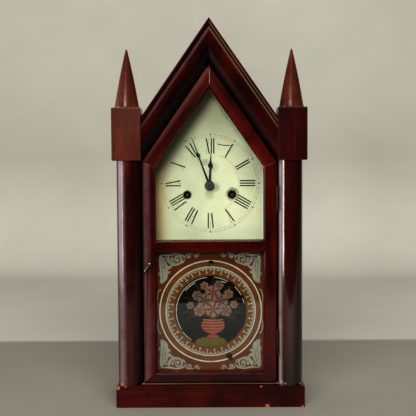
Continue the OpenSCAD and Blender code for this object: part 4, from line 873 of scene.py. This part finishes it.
# A scroll is its centre, radius, turns, start in degrees, hand and width, and a leaf its points
# and greatest width. In a corner u runs inwards along the rail and v away from it.
LARGE_SCROLLS = (
    ((26.5, 8.6), 7.4, 1.6, 200, -1, 3.2),
    ((40.8, 4.6), 3.8, 1.3, 190, 1, 2.0),
    ((51.6, 3.4), 2.7, 1.2, 200, -1, 1.5),
)
LEAVES = (
    ([(3.5, 2.5), (14, 3.0), (24, 1.8), (33, 3.4), (38, 8.0)], 3.4),
    ([(34, 7.5), (40, 1.6), (47, 1.4), (51, 5.8)], 1.6),
    ([(50, 0.9), (54, 1.0), (56.5, 3.2)], 1.2),
    ([(4, 3), (8.5, 12), (13, 20), (21, 15.5)], 6.0),
    ([(3, 4), (8, 16), (13, 26), (17, 24)], 5.0),
    ([(2.5, 5), (8, 20), (10, 33), (4, 41)], 6.6),
    ([(2, 8), (4.5, 22), (5, 34), (2.5, 40)], 3.6),
    ([(14, 4), (15.5, 10), (20, 15), (27, 16)], 4.8),
    ([(30, 14), (34, 12), (36, 8)], 2.4),
)
SMALL_SCROLLS = (
    ((4.2, 27.5), 3.4, 1.1, 60, 1, 1.5),
    ((10.5, 8.5), 3.6, 1.1, 100, -1, 1.7),
)


def corner_scroll():
    work = []
    for scroll in LARGE_SCROLLS:
        work += spiral(*scroll)
    for points, widest in LEAVES:
        work += tapered(points, widest, 6, 0.1, 0.05)
    for scroll in SMALL_SCROLLS:
        work += spiral(*scroll)
    return work


def corner_veins():
    veins = []
    for points in ([(6, 6), (9, 16), (10, 27)], [(8, 6), (12, 13), (16, 17)],
                   [(4, 8), (6.2, 20), (6.6, 33)], [(16, 6), (19, 11), (25, 14.5)],
                   [(18, 3.4), (26, 3.0), (33, 5.4)], [(23, 7), (27, 6.2), (29.5, 9.2)]):
        veins += tapered(points, 0.7, 6)
    return veins


CORNER_GAP = 0.8


def to_corners(work):
    """The corner's work at all four corners of the opening."""
    four = []
    for side_x, edge_x in ((-1, open_low.x), (1, open_high.x)):
        for side_z, edge_z in ((-1, open_low.z), (1, open_high.z)):
            four += [[(edge_x - side_x * (u + CORNER_GAP), edge_z - side_z * (v + CORNER_GAP))
                      for u, v in o] for o in work]
    return four


SPRIG, SPRIG_WIDTH = [(68.6, 9), (69.6, 18), (68.2, 27), (65.6, 30.5)], 1.5
BUD, BUD_R = (66.2, 28.4), 1.0


def side_sprigs():
    """Small curls half way down each side, in the narrow space beside the ring."""
    work = []
    for side in (-1, 1):
        for up in (-1, 1):
            def there(points):
                return [(side * x, TABLET[1] + up * z) for x, z in points]
            work += tapered(there(SPRIG), SPRIG_WIDTH)
            work.append(disc(there([BUD])[0], BUD_R, 10))
    return work


ARCADE_TEETH = 34
BAND_IN, BAND_OUT = 56.4, 59.7
# Places in the arcade: radius, and how far round from the stem's own line
STEM, STEM_WIDTHS = ((57.0, 0.9), (55.2, 0.3), (53.4, 0.0), (51.9, 0.1)), (2.4, 1.5, 1.2, 1.4)
BALL, BALL_R = (51.5, 0.2), 1.45
DROP, DROP_R = 55.6, 1.35
CORE, CORE_R = 51.6, 0.5
CORE_LINE = (0.9, 1.4)


def arcade():
    """The inner ring: a broad band with stems that end in balls, and a drop between each two."""
    work = ring(TABLET, BAND_IN, BAND_OUT, step=4)
    step = math.tau / ARCADE_TEETH
    for n in range(ARCADE_TEETH):
        a = n * step

        def turned(points, a=a):
            return [(TABLET[0] + r * math.cos(a + s / r), TABLET[1] + r * math.sin(a + s / r))
                    for r, s in points]

        work += ribbon(turned(STEM), STEM_WIDTHS)
        work.append(disc(turned([BALL])[0], BALL_R, 12))
        work.append(disc(turned([(DROP, 0.5 * step * DROP)])[0], DROP_R, 12))
    return work


def arcade_cores():
    """Dark middles of the balls and a dark line along the band."""
    work = ring(TABLET, BAND_IN + CORE_LINE[0], BAND_IN + CORE_LINE[1], step=4)
    for n in range(ARCADE_TEETH):
        a = n * math.tau / ARCADE_TEETH + BALL[1] / BALL[0]
        centre = (TABLET[0] + CORE * math.cos(a), TABLET[1] + CORE * math.sin(a))
        work.append(disc(centre, CORE_R, 8))
    return work


def blossom(centre, r, petals, start=0.0):
    """Round petals round an eye, and the dark strokes between them."""
    work, strokes = [], []
    for n in range(petals):
        a = start + math.tau * n / petals
        at = (centre[0] + 0.56 * r * math.cos(a), centre[1] + 0.56 * r * math.sin(a))
        work.append(from_tablet(disc(at, 0.5 * r, 12)))
        a += math.pi / petals
        way = (math.cos(a), math.sin(a))
        line = [(centre[0] + k * r * way[0], centre[1] + k * r * way[1]) for k in (0.15, 0.5, 0.95)]
        strokes += tapered(from_tablet(line), 0.16 * r, 4)
    return work, strokes


URN = [(-9, -35.6), (9, -35.6), (8, -33.2), (4, -31.6), (5.5, -29.5), (12.5, -26), (15.6, -20.5),
       (15, -15.5), (12.2, -12.6), (14.2, -10.6), (-14.2, -10.6), (-12.2, -12.6), (-15, -15.5),
       (-15.6, -20.5), (-12.5, -26), (-5.5, -29.5), (-4, -31.6), (-8, -33.2)]
URN_X = 3.0
# Stripes of the urn: height, half width and thickness
URN_BANDS = ((-33.4, 7.6, 1.2), (-27.3, 10.5, 1.5), (-23.4, 14.0, 1.6), (-19.4, 15.2, 1.6),
             (-15.2, 14.6, 1.5), (-11.6, 13.2, 1.3))
MOUND_FOOT, MOUND_SPREAD = 34.5, 0.62
MOUND_TOP = [(18, -36.5), (10, -34.6), (0, -34.0), (-10, -34.8), (-18, -37.0)]


def draw_picture():
    """A generic urn of flowers on a mound, in the tones of the old painting."""
    edge = BLACK_R - 0.3
    half = math.degrees(math.acos(MOUND_FOOT / edge))
    turns = [math.radians(270 + half * (i / 12 * 2 - 1) * MOUND_SPREAD) for i in range(13)]
    mound = [(edge * math.cos(t), edge * math.sin(t)) for t in turns] + MOUND_TOP
    glass_piece("tablet_mound", [from_tablet(mound)], PICTURE_Y, olive)
    urn = from_tablet([(x + URN_X, z) for x, z in URN])
    glass_piece("tablet_urn", [urn], PICTURE_Y - 0.01, red_paint)
    bands = []
    for z, reach, thick in URN_BANDS:
        sway = [(-reach, z + 0.8), (-reach * 0.4, z), (reach * 0.4, z - 0.2), (reach, z + 0.8)]
        bands += ribbon(curve(from_tablet([(x + URN_X, v) for x, v in sway]), 5), [thick] * 16)
    glass_piece("tablet_urn_bands", bands, PICTURE_Y - 0.02, rose)
    draw_bouquet()


# A bloom is its centre, radius and whether it is grey; a leaf is its middle and its tip.
BLOOMS = (((3, 3), 10.5, 0), ((-8, 14), 9.5, 1), ((13, 14), 10.0, 1), ((3, 25), 9.5, 0),
          ((-15, 1), 7.4, 0), ((20, 1), 7.6, 1), ((-18, 21), 6.4, 1), ((24, 23), 6.0, 0),
          ((11, 35), 6.2, 1), ((-8, 34), 5.4, 0), ((-27, 8), 5.0, 1), ((31, 9), 5.0, 0))
LEAF_ENDS = ((-20, -6, -33, -10), (24, -7, 36, -14), (-14, 26, -22, 35), (20, 28, 29, 33),
             (-24, 14, -38, 18), (29, 14, 41, 16), (2, 34, 3, 45), (-26, -2, -40, -2),
             (28, -2, 42, -4))


def draw_bouquet():
    stems, leaves, pinks, greys, eyes, strokes = [], [], [], [], [], []
    random.seed(5)
    for (x, z), r, grey in BLOOMS:
        stems += tapered(from_tablet([(URN_X, -10.5), (0.5 * x + 1, 0.5 * z - 6), (x, z)]), 0.8)
        petals, dark = blossom((x, z), r, 6, random.random())
        (greys if grey else pinks).extend(petals)
        strokes += dark
        eyes.append(from_tablet(disc((x, z), 0.2 * r, 12)))
    for x, z, tip_x, tip_z in LEAF_ENDS:
        middle = (0.5 * (x + tip_x) + 1.5, 0.5 * (z + tip_z) + 1.5)
        leaves += tapered(from_tablet([(0.6 * x, 0.6 * z), (x, z), middle, (tip_x, tip_z)]), 4.4)
    for name, outlines, lift, material in (
        ("tablet_stems", stems, -0.02, olive),
        ("tablet_leaves", leaves, 0.0, brown_shade),
        ("tablet_grey_blooms", greys, 0.025, grey_rose),
        ("tablet_pink_blooms", pinks, 0.05, rose),
        ("tablet_petal_strokes", strokes, 0.075, brown_shade),
        ("tablet_bloom_eyes", eyes, 0.10, red_paint),
    ):
        glass_piece(name, outlines, PICTURE_Y - lift, material)


PAINT_MARGIN = 0.4
RING_HALF, RIM_HALF, BAND_EDGE = 0.85, 0.4, (0.5, 0.2)
# White brush strokes inside the disc's rim: start and end in degrees, and radius
RIM_ARCS = ((96, 212, 45.6), (60, 84, 45.8), (28, 46, 45.8), (14, 22, 45.6),
            (216, 236, 46.2), (62, 70, 42.8), (118, 140, 43.2))
# Lost paint: X, Z, radius and squash
LOSSES = ((1.0, 65.5, 4.0, 0.6), (24.5, -60.0, 4.6, 0.9), (28.0, -64.5, 2.2, 0.8),
          (-2.0, 61.0, 2.0, 0.5))


def draw_tablet():
    left, right = pane_low.x + PAINT_MARGIN, pane_high.x - PAINT_MARGIN
    foot, top = pane_low.z + PAINT_MARGIN, pane_high.z - PAINT_MARGIN
    ground = [(left, foot), (right, foot), (right, top), (left, top)]
    glass_piece("tablet_ground", [ground], GROUND_Y, ground_paint)
    glass_piece("tablet_band", ring(TABLET, BLACK_R - 1, TABLET_R), GROUND_Y - 0.03, band_paint)
    glass_piece("tablet_disc", [disc(TABLET, BLACK_R, 96)], BLACK_Y, black_paint)
    rings = ring(TABLET, TABLET_R - RING_HALF, TABLET_R + RING_HALF)
    rings += ring(TABLET, BAND_OUT - BAND_EDGE[0], BAND_OUT + BAND_EDGE[1])
    glass_piece("tablet_rings", rings, LINE_Y, white)
    glass_piece("tablet_arcade", arcade(), LINE_Y + 0.03, silver)
    glass_piece("tablet_arcade_cores", arcade_cores(), LINE_Y - 0.02, band_paint)
    arcs = []
    for start, end, r in RIM_ARCS:
        arcs += ring(TABLET, r - RIM_HALF, r + RIM_HALF, start, end)
    glass_piece("tablet_rim_arcs", arcs, LINE_Y, white)
    scrolls = to_corners(corner_scroll()) + side_sprigs()
    glass_piece("tablet_scrolls", scrolls, LINE_Y, silver)
    glass_piece("tablet_scroll_veins", to_corners(corner_veins()), LINE_Y - 0.02, ground_paint)
    losses = [disc((TABLET[0] + x, TABLET[1] + z), r, 9, s) for x, z, r, s in LOSSES]
    glass_piece("tablet_losses", losses, LINE_Y - 0.03, black_paint)
    draw_picture()


draw_tablet()

# ---------- Stage ----------

STAGE_FRONT, STAGE_BACK, STAGE_BEND, STAGE_TOP, STAGE_HALF = -0.8, 1.35, 0.25, 1.8, 4.5
FLOOR_TONES = (0.42, 0.40, 0.355), (0.37, 0.355, 0.315)
NEAR_TONES = (0.78, 0.765, 0.70), (0.70, 0.685, 0.625)
FAR_TONES = (0.50, 0.485, 0.43), (0.44, 0.43, 0.38)


def plaster():
    """The floor's tone near the clock and the wall's from where the photo has its wall."""
    m = Finish("pale_plaster")
    cloud = m.noise(2.2, detail=5.0, rough=0.6)
    grit = m.noise(140.0, detail=4.0, rough=0.7)
    near, far, floor = (m.mix(m.span(cloud, 0.35, 0.7), *tones)
                        for tones in (NEAR_TONES, FAR_TONES, FLOOR_TONES))
    # The wall is painted lighter at its foot and darker higher up, so that it looks evenly lit
    # under the lamps
    wall = m.mix(m.along("Z", 0, 350), near, far)
    tint = m.mix(m.along("Y", 325, 345), floor, wall)
    return m.surface(Base_Color=tint, Roughness=0.8, Normal=m.bump(grit, 0.15, 0.3))


def make_stage():
    """A pale floor, wide all round the clock, that curves up into a pale wall far behind it."""
    profile = [(STAGE_FRONT, 0.0)]
    for i in range(0, 9):
        a = math.radians(90 * i / 8)
        profile.append((STAGE_BACK - STAGE_BEND + STAGE_BEND * math.sin(a),
                        STAGE_BEND - STAGE_BEND * math.cos(a)))
    profile.append((STAGE_BACK, STAGE_TOP))
    made = bmesh.new()
    rows = [[made.verts.new((side * STAGE_HALF, y, z)) for y, z in profile] for side in (-1, 1)]
    for i in range(len(profile) - 1):
        face = made.faces.new((rows[0][i], rows[1][i], rows[1][i + 1], rows[0][i + 1]))
        face.smooth = True
    stage = mesh_object("stage", made, plaster())
    return stage


# Name, degrees to the left of the front, distance, size, height, radiance, colour, height faced
LIGHTS = (
    ("key", 14, 2.0, (0.90, 0.42), 1.03, 23.0, (1.0, 0.99, 0.95), 0.28),
    ("window_edge", 64, 1.2, (0.10, 0.72), 0.36, 26.0, (1.0, 0.91, 0.85), 0.36),
    ("window", 88, 1.2, (0.90, 0.72), 0.36, 5.0, (0.94, 0.92, 1.0), 0.36),
    ("overhead", 0, 0.75, (1.6, 0.9), 1.75, 9.0, (1.0, 0.98, 0.95), 0.3),
    ("backdrop_wash", 0, 1.9, (2.4, 1.0), 0.6, 13.5, (1.0, 0.99, 0.95), 0.3),
    ("rear_fill", 205, 2.2, (1.2, 0.8), 1.5, 7.0, (1.0, 0.99, 0.96), 0.2),
    ("right_fill", -105, 1.8, (1.0, 0.9), 0.7, 9.0, (1.0, 0.99, 0.96), 0.3),
    ("far_wash", 180, 0.45, (3.2, 0.5), 1.6, 2.0, (1.0, 0.99, 0.95), 1.6),
)
FAR_WASH_TILT = 52.0
RIGHT_SIDE = ("case_side_right", "roof_board_right", "plinth_side_right", "back_board")
ROOM_TONE, ROOM_STRENGTH = (0.75, 0.76, 0.8, 1.0), 0.05


def make_light(name, side, distance, size, height, radiance, colour, target):
    """A soft panel that faces the clock."""
    data = bpy.data.lights.new(name, "AREA")
    data.shape = "RECTANGLE"
    data.size, data.size_y = size
    data.energy = math.pi * radiance * size[0] * size[1]
    data.color = colour
    light = placed(name, data)
    a = math.radians(side)
    light.location = (-distance * math.sin(a), -distance * math.cos(a), height)
    aim = Vector((0, 0, target))
    light.rotation_euler = (aim - light.location).to_track_quat("-Z", "Y").to_euler()
    return light


def flag(light, state, *objects):
    """Keeps a light off some objects, as a flag would, or on them alone."""
    group = bpy.data.collections.new(light.name + "_reach")
    light.light_linking.receiver_collection = group
    for obj in objects:
        group.objects.link(obj)
    for reach in group.collection_objects:
        reach.light_linking.link_state = state


def make_lights(stage):
    lights = {values[0]: make_light(*values) for values in LIGHTS}
    lights["far_wash"].rotation_euler = (math.radians(FAR_WASH_TILT), 0, 0)
    flag(lights["key"], "EXCLUDE", stage, nodes["gable_moulding_left"],
         nodes["gable_moulding_right"])
    flag(lights["right_fill"], "INCLUDE", *(nodes[name] for name in RIGHT_SIDE))
    for name in ("backdrop_wash", "far_wash"):
        flag(lights[name], "INCLUDE", stage)
    for name in ("window_edge", "window", "overhead", "rear_fill"):
        flag(lights[name], "EXCLUDE", stage)
    world = bpy.data.worlds.new("room")
    bpy.context.scene.world = world
    world.use_nodes = True
    back = world.node_tree.nodes["Background"]
    back.inputs["Color"].default_value = ROOM_TONE
    back.inputs["Strength"].default_value = ROOM_STRENGTH


SENSOR = 36.0
FOCAL_PIXELS, PHOTO_PIXELS = 771, 416
CAMERA_AT = (-0.0022, -1.0485, 0.312)
CAMERA_ROLL, CAMERA_DIP = -0.30, 2.96  # degrees


def make_camera():
    """The camera where the photograph's perspective puts it."""
    data = bpy.data.cameras.new("camera")
    data.sensor_width = SENSOR
    data.lens = FOCAL_PIXELS / PHOTO_PIXELS * SENSOR
    camera = placed("camera", data)
    camera.location = CAMERA_AT
    roll = Matrix.Rotation(math.radians(CAMERA_ROLL), 4, "Z")
    pitch = Matrix.Rotation(math.radians(90 - CAMERA_DIP), 4, "X")
    camera.rotation_euler = (pitch @ roll).to_euler()
    bpy.context.scene.camera = camera


make_lights(make_stage())
make_camera()
bpy.context.scene.view_settings.view_transform = "Standard"
bpy.context.scene.view_settings.gamma = 0.75
